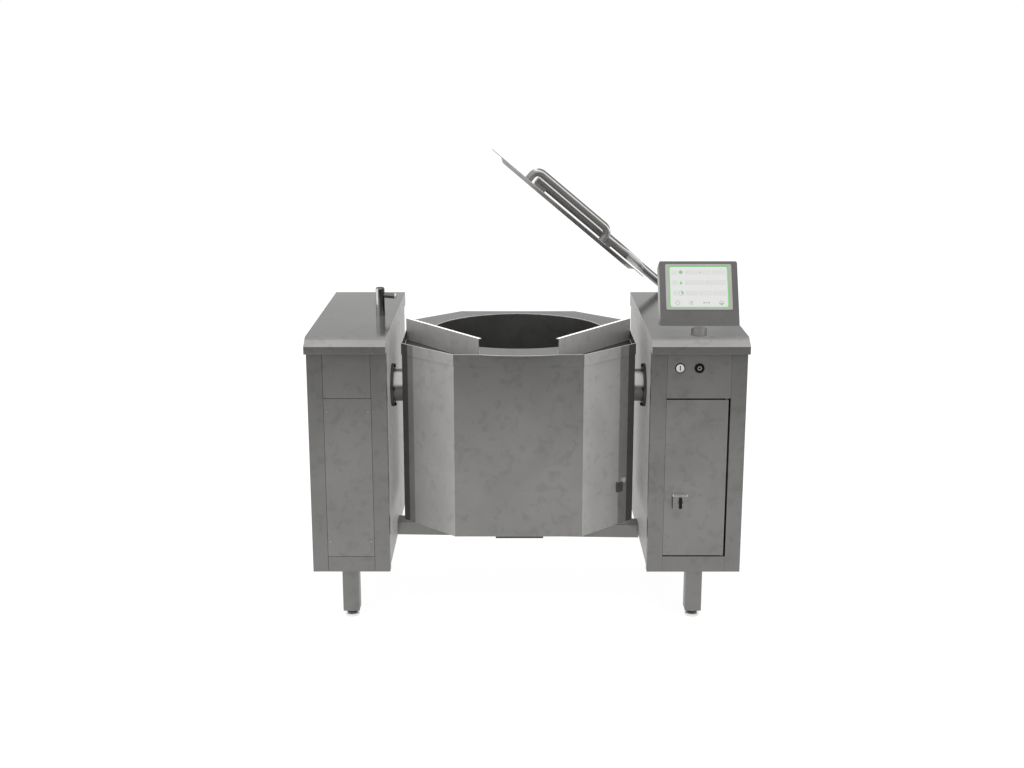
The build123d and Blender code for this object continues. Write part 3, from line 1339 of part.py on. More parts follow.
# Service door with its hinge pins
door_left = side_x(1, half_gap + post_width) + seam_gap / 2
door_right = side_x(1, outer_d(1) - post_width - door_side_gap)
door_bottom = lower_seam + door_edge_gap
door_top = upper_seam - door_edge_gap
lock_x = side_x(1, half_gap + lock_aside)
lock_height = door_bottom + lock_rise
lock_corner = 3.0
latch_barrel = 8.0
pin_in_panel = 6.0         # upper hinge pin's reach past the seam
pin_end_gap = 2.0
with BuildPart() as service_door:
    folded_panel(door_left, door_right, door_bottom, door_top, door_sheet)
    rod((door_hinge_x, door_hinge_y, door_top - door_sheet), (0, 0, 1), hinge_pin_radius,
        door_sheet + door_edge_gap + pin_in_panel)
    rod((door_hinge_x, door_hinge_y, door_bottom + door_sheet), (0, 0, -1), hinge_pin_radius,
        door_sheet + door_edge_gap + pin_reach - pin_end_gap)
    rod((lock_x, front_y - door_sheet, lock_height), (0, 1, 0), latch_barrel + running_clearance,
        3 * door_sheet, mode=Mode.SUBTRACT)
finish(service_door, "service_door")

with BuildPart() as lock_plate:
    block(lock_x - lock_size / 2, lock_x + lock_size / 2, front_y - lock_depth, front_y,
          lock_height - lock_size / 2, lock_height + lock_size / 2)
    fillet(lock_plate.edges().filter_by(Axis.Y), lock_corner)
    rod((lock_x, front_y - lock_depth - 1, lock_height), (0, 1, 0), latch_barrel + running_clearance,
        lock_depth + 2, mode=Mode.SUBTRACT)
finish(lock_plate, "lock_plate")

# Door latch: a bar in front, a barrel through the door and a cam behind the post
latch_gap = 0.2
cam_length = 58.0
cam_width = 16.0
cam_sheet = 3.0
cam_gap = 3.0              # cam behind the post
cam_y = front_y + post_depth + cam_gap
latch_seat = 3.0           # barrel's reach into the bar
latch_nut_proud = 4.0
latch_nut = 3.0
with BuildPart() as door_latch:
    block(lock_x - latch_width / 2, lock_x + latch_width / 2, front_y - lock_depth - latch_gap - latch_proud,
          front_y - lock_depth - latch_gap, lock_height - latch_length / 2, lock_height + latch_length / 2)
    rod((lock_x, front_y - lock_depth - latch_gap - latch_seat, lock_height), (0, 1, 0), latch_barrel,
        cam_y + 2 * cam_sheet - front_y + lock_depth + latch_gap + latch_seat)
    rod((lock_x, front_y + door_sheet + latch_gap, lock_height), (0, 1, 0),
        latch_barrel + latch_nut_proud, latch_nut)
    block(lock_x - cam_width / 2, lock_x + cam_width / 2, cam_y, cam_y + cam_sheet,
          lock_height - cam_length, lock_height)
finish(door_latch, "door_latch")
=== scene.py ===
# %% [markdown]
# # A tilting kettle for a large kitchen
# The machine is sheet steel almost all over, so this lesson is about folded edges, soft
# reflections and quiet colour changes. The solids come from the imported model and stay
# where they are. We round their edges on copies, add the small pieces one by one, and give
# every surface a material made of nodes.

import bmesh
import bpy
import json
import math
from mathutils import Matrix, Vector

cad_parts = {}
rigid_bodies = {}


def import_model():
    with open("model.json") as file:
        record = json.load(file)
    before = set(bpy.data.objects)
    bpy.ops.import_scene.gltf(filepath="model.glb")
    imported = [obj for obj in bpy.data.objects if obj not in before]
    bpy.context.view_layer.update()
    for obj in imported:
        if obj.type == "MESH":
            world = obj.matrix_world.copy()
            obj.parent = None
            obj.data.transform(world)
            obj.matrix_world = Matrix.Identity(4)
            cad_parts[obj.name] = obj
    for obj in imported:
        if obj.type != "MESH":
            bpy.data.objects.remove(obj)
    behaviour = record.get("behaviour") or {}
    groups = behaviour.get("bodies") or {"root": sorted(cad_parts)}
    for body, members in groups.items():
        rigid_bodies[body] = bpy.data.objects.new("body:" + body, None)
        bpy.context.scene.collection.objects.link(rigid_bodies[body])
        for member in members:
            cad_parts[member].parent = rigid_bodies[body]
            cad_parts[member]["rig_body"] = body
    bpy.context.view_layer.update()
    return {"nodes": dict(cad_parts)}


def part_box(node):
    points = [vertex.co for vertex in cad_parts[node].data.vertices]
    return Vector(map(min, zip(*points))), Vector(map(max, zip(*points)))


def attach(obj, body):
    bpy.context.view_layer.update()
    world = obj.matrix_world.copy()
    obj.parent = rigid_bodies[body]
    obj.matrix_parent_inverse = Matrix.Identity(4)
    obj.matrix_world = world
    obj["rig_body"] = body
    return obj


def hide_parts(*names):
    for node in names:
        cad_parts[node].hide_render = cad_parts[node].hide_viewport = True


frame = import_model()
nodes = frame["nodes"]

# %% [markdown]
# The camera stands where the photographer stood: at head height, four metres in front,
# looking down by almost fourteen degrees. That is why the upright edges of the pedestals
# lean together towards the floor.

# %% Camera
camera_place = (-0.04375, -4.4004, 1.73529)
camera_tilt = math.radians(76.252)
bpy.ops.object.select_all(action="DESELECT")
bpy.ops.object.camera_add(location=camera_place, rotation=(camera_tilt, 0, 0))
camera = bpy.context.object
camera.data.lens = 49.043
camera.data.sensor_width = 36
camera.data.clip_end = 60
bpy.context.scene.camera = camera
bpy.context.scene.view_settings.view_transform = "Standard"
print("camera at", tuple(round(v, 2) for v in camera.location))

# %% [markdown]
# Steel shows its surroundings, so the room matters more than the lamps. Two small helpers
# come first. One makes a material with its shader. The other gives a level that depends
# on the kind of ray that asks, so that a background can be white and still light the
# steel softly.


# %% Materials and rays
def new_material(name):
    """A material with its node tree and shader."""
    material = bpy.data.materials.new(name)
    material.use_nodes = True
    tree = material.node_tree
    return material, tree, tree.nodes["Principled BSDF"]


def seen_level(tree, plain, shown, kinds):
    """One number for light that falls on things, and another for the rays of the named kinds."""
    path = tree.nodes.new("ShaderNodeLightPath")
    value = path.outputs[kinds[0]]
    for kind in kinds[1:]:
        larger = tree.nodes.new("ShaderNodeMath")
        larger.operation = "MAXIMUM"
        tree.links.new(value, larger.inputs[0])
        tree.links.new(path.outputs[kind], larger.inputs[1])
        value = larger.outputs[0]
    level = tree.nodes.new("ShaderNodeMapRange")
    level.inputs["To Min"].default_value = plain
    level.inputs["To Max"].default_value = shown
    tree.links.new(value, level.inputs["Value"])
    return level.outputs["Result"]


# %% [markdown]
# The background is white for the camera and for reflections, and the world lights the
# rest at a plain level.

# %% World
world = bpy.data.worlds.new("studio")
bpy.context.scene.world = world
world.use_nodes = True
tree = world.node_tree
background = tree.nodes["Background"]
background.inputs["Color"].default_value = (1, 1, 1, 1)
strength = seen_level(tree, plain=0.72, shown=1.0,
                      kinds=["Is Camera Ray", "Is Glossy Ray", "Is Transmission Ray"])
tree.links.new(strength, background.inputs["Strength"])
print("world:", world.name)

# %% [markdown]
# The floor is a matt grey with a glow. What light falls on it and the glow together come
# up to white, so the camera sees it run into the background, and only a very faint
# shadow is left under the machine, as in the photograph.

# %% Floor
floor_grey = 0.24
bpy.ops.object.select_all(action="DESELECT")
bpy.ops.mesh.primitive_plane_add(size=60, location=(0, 0, -0.0005))
floor = bpy.context.object
floor.name = "floor"
floor_material, tree, shader = new_material("pale floor")
tree.nodes.remove(shader)
matt = tree.nodes.new("ShaderNodeBsdfDiffuse")
matt.inputs["Color"].default_value = (floor_grey, floor_grey, floor_grey, 1)
glow = tree.nodes.new("ShaderNodeEmission")
glow.inputs["Color"].default_value = (1, 1, 1, 1)
glow_sum = tree.nodes.new("ShaderNodeMath")
glow_sum.operation = "ADD"
mirrored_glow = seen_level(tree, plain=0.2, shown=0.86, kinds=["Is Camera Ray", "Is Glossy Ray"])
camera_glow = seen_level(tree, plain=0.0, shown=0.06, kinds=["Is Camera Ray"])
tree.links.new(mirrored_glow, glow_sum.inputs[0])
tree.links.new(camera_glow, glow_sum.inputs[1])
tree.links.new(glow_sum.outputs[0], glow.inputs["Strength"])
both = tree.nodes.new("ShaderNodeAddShader")
tree.links.new(matt.outputs[0], both.inputs[0])
tree.links.new(glow.outputs[0], both.inputs[1])
tree.links.new(both.outputs[0], tree.nodes["Material Output"].inputs["Surface"])
floor.data.materials.append(floor_material)
print("floor:", floor.name)

# %% [markdown]
# A photographer puts a dark card in front of bright metal, or it has no shape at all. Our
# card stands on the floor about three metres ahead, and only reflections see it. The
# fronts mirror it near their upper edges and mirror the pale floor below, so they fade
# from dark to light, and every tube gets a dark middle between two brighter lines.

# %% Dark card
card_width = 11.0
card_height = 1.24
card_y = -3.3
card_turn = (math.radians(90), 0, 0)
bpy.ops.object.select_all(action="DESELECT")
bpy.ops.mesh.primitive_plane_add(size=1, location=(0, card_y, card_height / 2), rotation=card_turn)
card = bpy.context.object
card.name = "dark_card"
card.scale = (card_width, card_height, 1)
card_material, tree, shader = new_material("dark card")
shader.inputs["Base Color"].default_value = (0.02, 0.02, 0.02, 1)
shader.inputs["Roughness"].default_value = 0.9
shader.inputs["Emission Color"].default_value = (1, 1, 1, 1)
shader.inputs["Emission Strength"].default_value = 0.09
card.data.materials.append(card_material)
card.visible_camera = False
card.visible_diffuse = False
card.visible_transmission = False
card.visible_shadow = False
print("card:", card.name)

# %% [markdown]
# Three soft lamps light the machine: a wide one above, and one on each side. They are
# large, and reflections don't see them, so no small hot spot shows in the steel.


# %% Lamps
def soft_lamp(name, place, aim, size, power):
    """A square area lamp that looks at a point."""
    bpy.ops.object.select_all(action="DESELECT")
    bpy.ops.object.light_add(type="AREA", location=place)
    lamp = bpy.context.object
    lamp.name = name
    lamp.data.size = size
    lamp.data.energy = power
    lamp.rotation_euler = (Vector(aim) - Vector(place)).to_track_quat("-Z", "Y").to_euler()
    lamp.visible_glossy = False
    return lamp


soft_lamp("lamp_above", place=(0.0, -0.6, 3.6), aim=(0, 0, 0.8), size=2.6, power=26)
soft_lamp("lamp_left", place=(-3.0, -3.0, 1.6), aim=(0, 0, 0.6), size=1.8, power=12)
soft_lamp("lamp_right", place=(3.0, -3.0, 1.6), aim=(0, 0, 0.6), size=1.8, power=12)

# %% [markdown]
# The materials are built from a few kinds of node again and again, so each kind gets a
# short helper: one maps a value from one range to another, one makes noise, and one
# multiplies.


# %% Node helpers
def mapped(tree, value, low, high, to_low, to_high, smooth=False):
    """A Map Range node between two pairs of numbers."""
    node = tree.nodes.new("ShaderNodeMapRange")
    if smooth:
        node.interpolation_type = "SMOOTHSTEP"
    node.inputs["From Min"].default_value = low
    node.inputs["From Max"].default_value = high
    node.inputs["To Min"].default_value = to_low
    node.inputs["To Max"].default_value = to_high
    tree.links.new(value, node.inputs["Value"])
    return node.outputs["Result"]


def noise(tree, vector, scale, detail, distortion=0.0):
    """A noise texture's grey value."""
    node = tree.nodes.new("ShaderNodeTexNoise")
    node.inputs["Scale"].default_value = scale
    node.inputs["Detail"].default_value = detail
    node.inputs["Distortion"].default_value = distortion
    tree.links.new(vector, node.inputs["Vector"])
    return node.outputs["Fac"]


def product(tree, first, second):
    """Two values multiplied."""
    node = tree.nodes.new("ShaderNodeMath")
    node.operation = "MULTIPLY"
    tree.links.new(first, node.inputs[0])
    tree.links.new(second, node.inputs[1])
    return node.outputs[0]


# %% [markdown]
# Polished tubes mirror a lamp as one thin bright line. Here that line is a painted highlight
# in the tube's colour: a colour ramp sets it by the way the surface leans, and not by where
# the viewer stands. So it stays in its place on the tube from every side.

# %% Painted highlight line
line_half = 0.03
fade_before = 0.14
fade_past = 0.12


def painted_highlight_line(tree, way, lean, before, on, past):
    """A painted highlight: a tone that follows how far a surface leans towards a direction in the
    piece's own space: one level below the lean, a bright line at it, and another level above."""
    facing_way = tree.nodes.new("ShaderNodeVectorMath")
    facing_way.operation = "DOT_PRODUCT"
    tree.links.new(tree.nodes.new("ShaderNodeTexCoord").outputs["Normal"], facing_way.inputs[0])
    facing_way.inputs[1].default_value = Vector(way).normalized()
    ramp = tree.nodes.new("ShaderNodeValToRGB")
    stops = ramp.color_ramp.elements
    stops[0].position = 0.0
    stops[0].color = (before, before, before, 1)
    stops[1].position = 1.0
    stops[1].color = (past, past, past, 1)
    for place, level in ((lean - fade_before, before), (lean - line_half, on),
                         (lean + line_half, on), (lean + fade_past, past)):
        stop = stops.new(min(place, 0.999))
        stop.color = (level, level, level, 1)
    tree.links.new(facing_way.outputs["Value"], ramp.inputs["Fac"])
    return ramp.outputs["Color"]


# %% [markdown]
# Stainless steel sheet is never one flat grey. It has clouds about a hand wide, and small
# darker blotches about as wide as a thumb, left by rolling, handling and cleaning. Two
# noise textures on Object coordinates make them. A third, stretched along the brushing,
# makes fine lines in the tone, the roughness and the bump.

# %% Steel
cloud_scale = 7
blotch_scale = 33
brush_scale = 9
steel_tint = (1.0, 0.985, 0.96, 1)
brush_height = 0.00002


def steel(name, grey, roughness=0.3, metallic=0.6, cloud=0.05, blotch=0.11, brush=(1, 1, 60),
          lines=0.01, edge=0.5, glow=0.0, band=None):
    """Sheet steel. The brush numbers stretch the lines along the axis with the low number, edge
    is the tint at a flat angle, glow is painted light, standing for light that many mirrorings
    bring in, and band gives a direction, a lean against it, and the tones before, on and past
    a painted highlight line."""
    material, tree, shader = new_material(name)
    place = tree.nodes.new("ShaderNodeTexCoord").outputs["Object"]
    stretch = tree.nodes.new("ShaderNodeMapping")
    stretch.inputs["Scale"].default_value = brush
    tree.links.new(place, stretch.inputs["Vector"])
    fine = noise(tree, stretch.outputs["Vector"], brush_scale, 6)
    cloudy = noise(tree, place, cloud_scale, 3, 0.4)
    clouds = mapped(tree, cloudy, 0.35, 0.65, grey * (1 - cloud), grey * (1 + cloud))
    spotty = noise(tree, place, blotch_scale, 5, 0.5)
    spots = mapped(tree, spotty, 0.51, 0.68, 1.0, 1.0 - blotch, smooth=True)
    streaks = mapped(tree, fine, 0.3, 0.7, 1 - lines, 1 + lines)
    tone = product(tree, product(tree, clouds, spots), streaks)
    # Painted highlight: the tone is multiplied by a bright line set by the surface's lean.
    if band:
        tone = product(tree, tone, painted_highlight_line(tree, *band))
    warm = tree.nodes.new("ShaderNodeMix")
    warm.data_type = "RGBA"
    warm.blend_type = "MULTIPLY"
    warm.inputs["Factor"].default_value = 1.0
    warm.inputs["B"].default_value = steel_tint
    tree.links.new(tone, warm.inputs["A"])
    tree.links.new(warm.outputs["Result"], shader.inputs["Base Color"])
    wear = 1.5 * lines + 0.02
    gloss = mapped(tree, fine, 0.3, 0.7, roughness * (1 - wear), roughness * (1 + wear))
    tree.links.new(gloss, shader.inputs["Roughness"])
    bump = tree.nodes.new("ShaderNodeBump")
    bump.inputs["Strength"].default_value = min(1.0, 2 * lines)
    bump.inputs["Distance"].default_value = brush_height
    tree.links.new(fine, bump.inputs["Height"])
    tree.links.new(bump.outputs["Normal"], shader.inputs["Normal"])
    shader.inputs["Metallic"].default_value = metallic
    shader.inputs["Specular Tint"].default_value = (edge, edge, edge, 1)
    # Painted light: the glow makes the sheet brighter than the lamps light it.
    if glow:
        tree.links.new(warm.outputs["Result"], shader.inputs["Emission Color"])
        shader.inputs["Emission Strength"].default_value = glow
    return material


# %% [markdown]
# One recipe makes all the steels. The sheets look at different parts of the room, and
# each mirrors what is before it, so every group of them has its own grey, gloss and
# brushing. Worktops are brushed from side to side, and fronts up and down.

# %% Steels of the sheets
upright = (60, 60, 1)
across = (1, 60, 60)
every_way = (20, 20, 20)
top_steel = steel("worktop steel", 0.23, 0.14, metallic=0.6, brush=across)
# Painted light: a lighter copy of the worktop steel, for the sloping fronts and the panel housing's left
# side.
painted_light_steel = steel("steel painted lighter", 0.4, 0.22, metallic=0.5, brush=across)
lip_steel = steel("front lip steel", 0.24, 0.24, brush=across)
front_steel = steel("front steel", 0.25, 0.26, brush=upright)
post_steel = steel("post steel", 0.225, 0.26, brush=upright)
casing_steel = steel("casing steel", 0.28, 0.3, brush=upright, lines=0.03)
cladding_steel = steel("kettle steel", 0.26, 0.25, brush=upright)
# Painted light: a much lighter copy of the kettle steel for the slanted faces.
facet_painted_light_steel = steel("slanted kettle steel painted lighter", 0.555, 0.4, metallic=0.25, brush=upright)
# Painted shade: strips near the kettle's left and right edges, darker than the slanted faces and darkest at
# the very edge.
painted_shade_strip_steel = steel("kettle painted shade strip steel", 0.33, 0.4, metallic=0.25, brush=upright, lines=0.04)
painted_deep_shade_strip_steel = steel("kettle painted deep shade strip steel", 0.11, 0.4, metallic=0.25, brush=upright)
deck_steel = steel("deck steel", 0.215, 0.22, brush=every_way)
# Painted light: the inner covers glow, as if the gap between kettle and pedestal were brightly lit.
cover_painted_glow_steel = steel("inner cover steel with painted glow", 0.24, 0.5, metallic=0.2, brush=upright, lines=0.03, blotch=0.2,
                    glow=0.8)
print("materials:", len(bpy.data.materials))

# %% [markdown]
# The bowl, the tubes and most small parts are ground or polished, so their grain has no
# direction. The lid's tubes, the trunnions and the tap also get a painted highlight in their
# colour, and the lid's tubes and the trunnions painted shade beside it.

# %% Steels of round and small parts
bowl_steel = steel("bowl steel", 0.24, 0.35, metallic=0.85, brush=(30, 30, 30), cloud=0.12)
housing_steel = steel("panel housing steel", 0.155, 0.3, metallic=0.7, brush=upright, blotch=0.05)
neck_steel = steel("neck steel", 0.36, 0.35, metallic=0.5, brush=every_way)
tube_steel = steel("polished tube", 0.36, 0.36, metallic=0.9, brush=every_way, blotch=0.02, edge=0.9)
# Painted highlight: a bright line along the lid's tubes, with painted shade past it.
lid_tube_steel = steel("lid tube", 0.3, 0.3, metallic=0.8, brush=every_way, blotch=0.02, edge=0.9,
                       band=((0.55, -0.3, 0.78), 0.72, 1.1, 3.1, 0.55))
# Painted highlight: a polished steel painted almost white, for bright caps, foot pads, lock tops and the
# spout ring.
polished_painted_highlight_steel = steel("polished edge painted bright", 0.9, 0.15, metallic=0.8, brush=every_way, blotch=0.0, edge=1.0)
# Painted light: the trunnions are painted bright where they lean up and forward, and darker elsewhere.
trunnion_steel = steel("trunnion tube", 0.3, 0.3, metallic=0.8, brush=every_way, blotch=0.02, edge=0.9,
                       band=((0, -0.8, 0.6), 0.95, 0.6, 2.6, 2.6))
# Painted highlight and painted glow: a nearly white steel that glows, for bright lines along rounded edges
# and level tops.
rim_painted_highlight_steel = steel("painted highlight rim", 0.9, 0.15, metallic=0.7, brush=every_way, blotch=0.0, edge=1.0, glow=0.5)
# Painted highlight: a bright side painted on the tap's chrome where it looks left and forward.
chrome = steel("tap chrome", 0.22, 0.12, metallic=1.0, brush=every_way, blotch=0.0, cloud=0.02, edge=0.35,
               band=((-0.62, -0.78, 0), 0.955, 0.85, 3.0, 3.0))
lid_steel = steel("lid steel", 0.42, 0.3, metallic=0.6, brush=every_way)
bezel_steel = steel("bezel alloy", 0.5, 0.35, metallic=0.1, brush=across, blotch=0.01)
dark_steel = steel("dark steel", 0.1, 0.35, brush=every_way)
plug_steel = steel("plug steel", 0.11, 0.4, metallic=0.2, brush=every_way)
bearing_steel = steel("bearing steel", 0.1, 0.3, metallic=0.8, brush=every_way)
bolt_steel = steel("black bolt", 0.01, 0.35, metallic=0.3, brush=every_way)
frame_paint = steel("frame paint", 0.14, 0.55, metallic=0.0, brush=every_way)
print("materials:", len(bpy.data.materials))

# %% [markdown]
# The small parts are plastic, glass or print: white and black caps, the screen's glass,
# and the marks. Each has a faint grain in its tone and roughness, so that no surface is
# perfectly even. The valve and the water inlet are brass.

# %% Plastics and print
grain_scale = 400


def plastic(name, colour, roughness=0.4, grain=0.04, glow=0.0):
    """A smooth coloured material with a faint grain."""
    material, tree, shader = new_material(name)
    place = tree.nodes.new("ShaderNodeTexCoord").outputs["Object"]
    fine = noise(tree, place, grain_scale, 4)
    tint = tree.nodes.new("ShaderNodeMix")
    tint.data_type = "RGBA"
    tint.inputs["A"].default_value = (*[c * (1 - grain) for c in colour], 1)
    tint.inputs["B"].default_value = (*[min(1.0, c * (1 + grain)) for c in colour], 1)
    tree.links.new(fine, tint.inputs["Factor"])
    tree.links.new(tint.outputs["Result"], shader.inputs["Base Color"])
    gloss = mapped(tree, fine, 0.3, 0.7, roughness * 0.85, roughness * 1.15)
    tree.links.new(gloss, shader.inputs["Roughness"])
    shader.inputs["Specular IOR Level"].default_value = 0.2
    if glow:
        shader.inputs["Emission Color"].default_value = (*colour, 1)
        shader.inputs["Emission Strength"].default_value = glow
    return material


white_cap = plastic("white cap", (0.82, 0.82, 0.8), 0.35)
black_cap = plastic("black cap", (0.004, 0.004, 0.004), 0.25)
grey_mark = plastic("grey mark", (0.3, 0.3, 0.3), 0.5)
pale_mark = plastic("pale mark", (0.55, 0.55, 0.55), 0.5)
screen_white = plastic("screen white", (0.76, 0.76, 0.755), 0.5, 0.01, glow=0.12)
screen_row = plastic("screen row", (0.71, 0.715, 0.7), 0.5, 0.01, glow=0.12)
screen_green = plastic("screen green", (0.26, 0.66, 0.22), 0.5, 0.02, glow=0.1)
pale_green = plastic("pale green", (0.38, 0.68, 0.34), 0.5, 0.02, glow=0.1)
brass = steel("valve brass", 0.5, 0.3, metallic=0.8, brush=every_way)
gland_black = plastic("gland black", (0.03, 0.03, 0.03), 0.5)
print("materials:", len(bpy.data.materials))

# %% [markdown]
# Operators act on what is selected and active, so two helpers take care of that: one for
# whole pieces, and one for the corners, edges and faces of a piece in edit mode.


# %% Selecting
def activate(piece):
    """Makes one piece the only selected and active one."""
    bpy.ops.object.select_all(action="DESELECT")
    piece.select_set(True)
    bpy.context.view_layer.objects.active = piece


def choose(piece, vertex_test):
    """In edit mode: selects the edges and faces whose corners all pass a test, and counts them."""
    bpy.ops.mesh.select_all(action="DESELECT")
    shape = bmesh.from_edit_mesh(piece.data)
    for vertex in shape.verts:
        vertex.select = vertex_test(vertex.co)
    shape.select_flush_mode()
    shape.select_flush(True)
    bmesh.update_edit_mesh(piece.data)
    return sum(1 for edge in shape.edges if edge.select)


# %% [markdown]
# Folded sheet has a small round at each bend, and that round catches the light. A CAD
# solid has perfectly sharp edges, so we copy it, merge its loose triangles, dissolve the
# flat ones, and bevel what is left. The copy then stands for the node.

# %% Rounded copies
merge_distance = 0.00002
flat_angle = math.radians(0.4)
bend_angle = math.radians(30)
smooth_angle = math.radians(35)
hair = 0.0001


def rounded(name, width, material, splits=(), crown=0.0, foot=None):
    """A copy of a CAD node with rounded edges, on the same body. Each split is a place along X
    where the faces are divided, and crown rounds the topmost edge more. For a foot that is drawn
    in, foot gives the piece's middle, the two heights between which the foot lies, the distance
    from the middle past which it starts, and the factor."""
    source = nodes[name]
    mesh = source.data.copy()
    piece = bpy.data.objects.new(name + "_finished", mesh)
    bpy.context.scene.collection.objects.link(piece)
    activate(piece)
    bpy.ops.mesh.customdata_custom_splitnormals_clear()
    bpy.ops.object.mode_set(mode="EDIT")
    bpy.ops.mesh.select_all(action="SELECT")
    bpy.ops.mesh.remove_doubles(threshold=merge_distance)
    bpy.ops.mesh.dissolve_limited(angle_limit=flat_angle)
    for place in splits:
        bpy.ops.mesh.select_all(action="SELECT")
        bpy.ops.mesh.bisect(plane_co=(place, 0, 0), plane_no=(1, 0, 0))
    if foot:
        middle, low, high, reach, size = foot
        choose(piece, lambda co: low < co.z < high and (co.xy - middle.xy).length > reach)
        bpy.ops.transform.resize(value=(size, size, 1), center_override=tuple(middle))
    if crown:
        top = max(vertex.co.z for vertex in bmesh.from_edit_mesh(mesh).verts)
        print(name, "crown edges:", choose(piece, lambda co: co.z > top - hair))
        bpy.ops.mesh.bevel(offset=crown, segments=6, affect="EDGES")
    bpy.ops.object.mode_set(mode="OBJECT")
    bevel = piece.modifiers.new("bevel", "BEVEL")
    bevel.width = width
    bevel.segments = 2
    bevel.limit_method = "ANGLE"
    bevel.angle_limit = bend_angle
    bpy.ops.object.modifier_apply(modifier="bevel")
    bpy.ops.object.shade_smooth_by_angle(angle=smooth_angle)
    even = piece.modifiers.new("even", "WEIGHTED_NORMAL")
    even.keep_sharp = True
    bpy.ops.object.modifier_apply(modifier="even")
    mesh.materials.clear()
    mesh.materials.append(material)
    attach(piece, source["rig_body"])
    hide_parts(name)
    return piece


# %% [markdown]
# Every sheet, tube and cap whose edges show is on this list, with the width of its round
# in metres and its material. Tubes are round already, so there only the cut ends change.

# %% Sheets and tubes
sheets = {
    "left_worktop": (0.0012, top_steel), "right_worktop": (0.0012, top_steel),
    "left_front_frame": (0.0012, post_steel), "right_front_frame": (0.0012, post_steel),
    "left_upper_panel": (0.0008, front_steel), "right_upper_panel": (0.0008, front_steel),
    "left_lower_panel": (0.0008, front_steel), "service_door": (0.0008, front_steel),
    "left_casing": (0.0008, casing_steel), "right_casing": (0.0008, casing_steel),
    "left_inner_cover": (0.0006, cover_painted_glow_steel), "right_inner_cover": (0.0006, cover_painted_glow_steel),
    "legs": (0.0015, front_steel), "cross_beam": (0.002, front_steel),
    "pouring_guides": (0.0009, cladding_steel), "junction_box": (0.0008, dark_steel),
    "panel_housing": (0.0012, housing_steel), "panel_back_cover": (0.0006, housing_steel),
    "screen_bezel": (0.0006, bezel_steel), "lock_plate": (0.001, front_steel),
    "lid_plate": (0.0006, lid_steel), "lid_bearing": (0.0012, front_steel),
    "lid_handle": (0.0008, lid_tube_steel), "lid_arm": (0.0008, lid_tube_steel),
    "start_button": (0.0005, white_cap), "stop_button": (0.0005, black_cap),
    "levelling_feet": (0.0008, tube_steel), "button_rings": (0.0004, black_cap),
    "left_trunnion": (0.001, trunnion_steel), "right_trunnion": (0.001, trunnion_steel),
    "trunnion_bearings": (0.0008, bearing_steel), "door_latch": (0.0005, dark_steel),
    "jacket_plug": (0.0008, plug_steel),
}
pieces = {}
for name, (width, material) in sheets.items():
    pieces[name] = rounded(name, width, material)
print("rounded sheets and tubes:", len(pieces))

# %% [markdown]
# Near the kettle's left and right edges its slanted sheet gets narrow strips of painted
# shade, darkest at the very edge. The cladding and the collar are divided there by upright
# cuts, so that the strips can be painted later.

# %% Kettle cladding
kettle_x = -0.024
kettle_shade_strip_cuts = (kettle_x - 0.318, kettle_x + 0.305)
kettle_edges = (kettle_x - 0.335, kettle_x + 0.332)
kettle_splits = kettle_shade_strip_cuts + kettle_edges
pieces["kettle_cladding"] = rounded("kettle_cladding", 0.0008, cladding_steel, splits=kettle_splits)
pieces["kettle_collar"] = rounded("kettle_collar", 0.0026, cladding_steel, splits=kettle_splits)
print("rounded copies:", len(pieces))

# %% [markdown]
# The tap's post and the panel's neck stand on the worktop without a wide foot, and the tap
# ends in a soft round crown. So the copies draw the foot in to the width of the tube, and
# the tap's topmost edge is beveled more than the rest.

# %% Tap and neck
worktop_height = 0.9
foot_bottom = worktop_height - hair
foot_top = worktop_height + 0.0065
tap_foot_reach = 0.016
tap_foot_factor = 14.4 / 19
neck_foot_reach = 0.026
neck_foot_factor = 23.5 / 30
tap_low, tap_high = (Vector(v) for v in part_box("tap_post"))
neck_low, neck_high = (Vector(v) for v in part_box("panel_neck"))
tap_middle = (tap_low + tap_high) / 2
neck_middle = (neck_low + neck_high) / 2
pieces["tap_post"] = rounded("tap_post", 0.0006, chrome,
                             foot=(tap_middle, foot_bottom, foot_top, tap_foot_reach, tap_foot_factor))
pieces["panel_neck"] = rounded("panel_neck", 0.0006, neck_steel,
                               foot=(neck_middle, foot_bottom, foot_top, neck_foot_reach, neck_foot_factor))
pieces["tap_spout"] = rounded("tap_spout", 0.0006, chrome, crown=0.0055)

# %% [markdown]
# The panel's face leans back, and its housing's underside rises to the back, so that from
# head height only the face is seen. The two copies are drawn up there in small steps,
# more at the back than at the front.

# %% Housing underside
rise_steps = 10
step_depth = 0.005
step_rise = 0.0018
first_depth = 0.001
underside_band = 0.009
panel_lean = math.radians(28.5)
panel_out = Vector((0, -math.cos(panel_lean), math.sin(panel_lean)))
panel_up = Vector((0, math.sin(panel_lean), math.cos(panel_lean)))
for name in ("panel_housing", "panel_back_cover"):
    mesh = pieces[name].data
    front = max(vertex.co.dot(panel_out) for vertex in pieces["panel_housing"].data.vertices)
    bottom = min(vertex.co.dot(panel_up) for vertex in mesh.vertices)
    activate(pieces[name])
    bpy.ops.object.mode_set(mode="EDIT")
    for step in range(1, rise_steps + 1):
        depth = step_depth * step - first_depth
        choose(pieces[name], lambda co: co.dot(panel_up) < bottom + underside_band + step_rise * step
               and front - co.dot(panel_out) > depth)
        bpy.ops.transform.translate(value=tuple(panel_up * step_rise))
    bpy.ops.object.mode_set(mode="OBJECT")
print("housing underside drawn up at the back by", round(rise_steps * step_rise * 1000), "mm")

# %% [markdown]
# One folded sheet can look very different on its two sides, because each side mirrors
# something else. So a sheet's faces may have several steels, and which one a face gets
# is decided by the way it looks and where its middle is. Each test below says this of
# one kind of face.


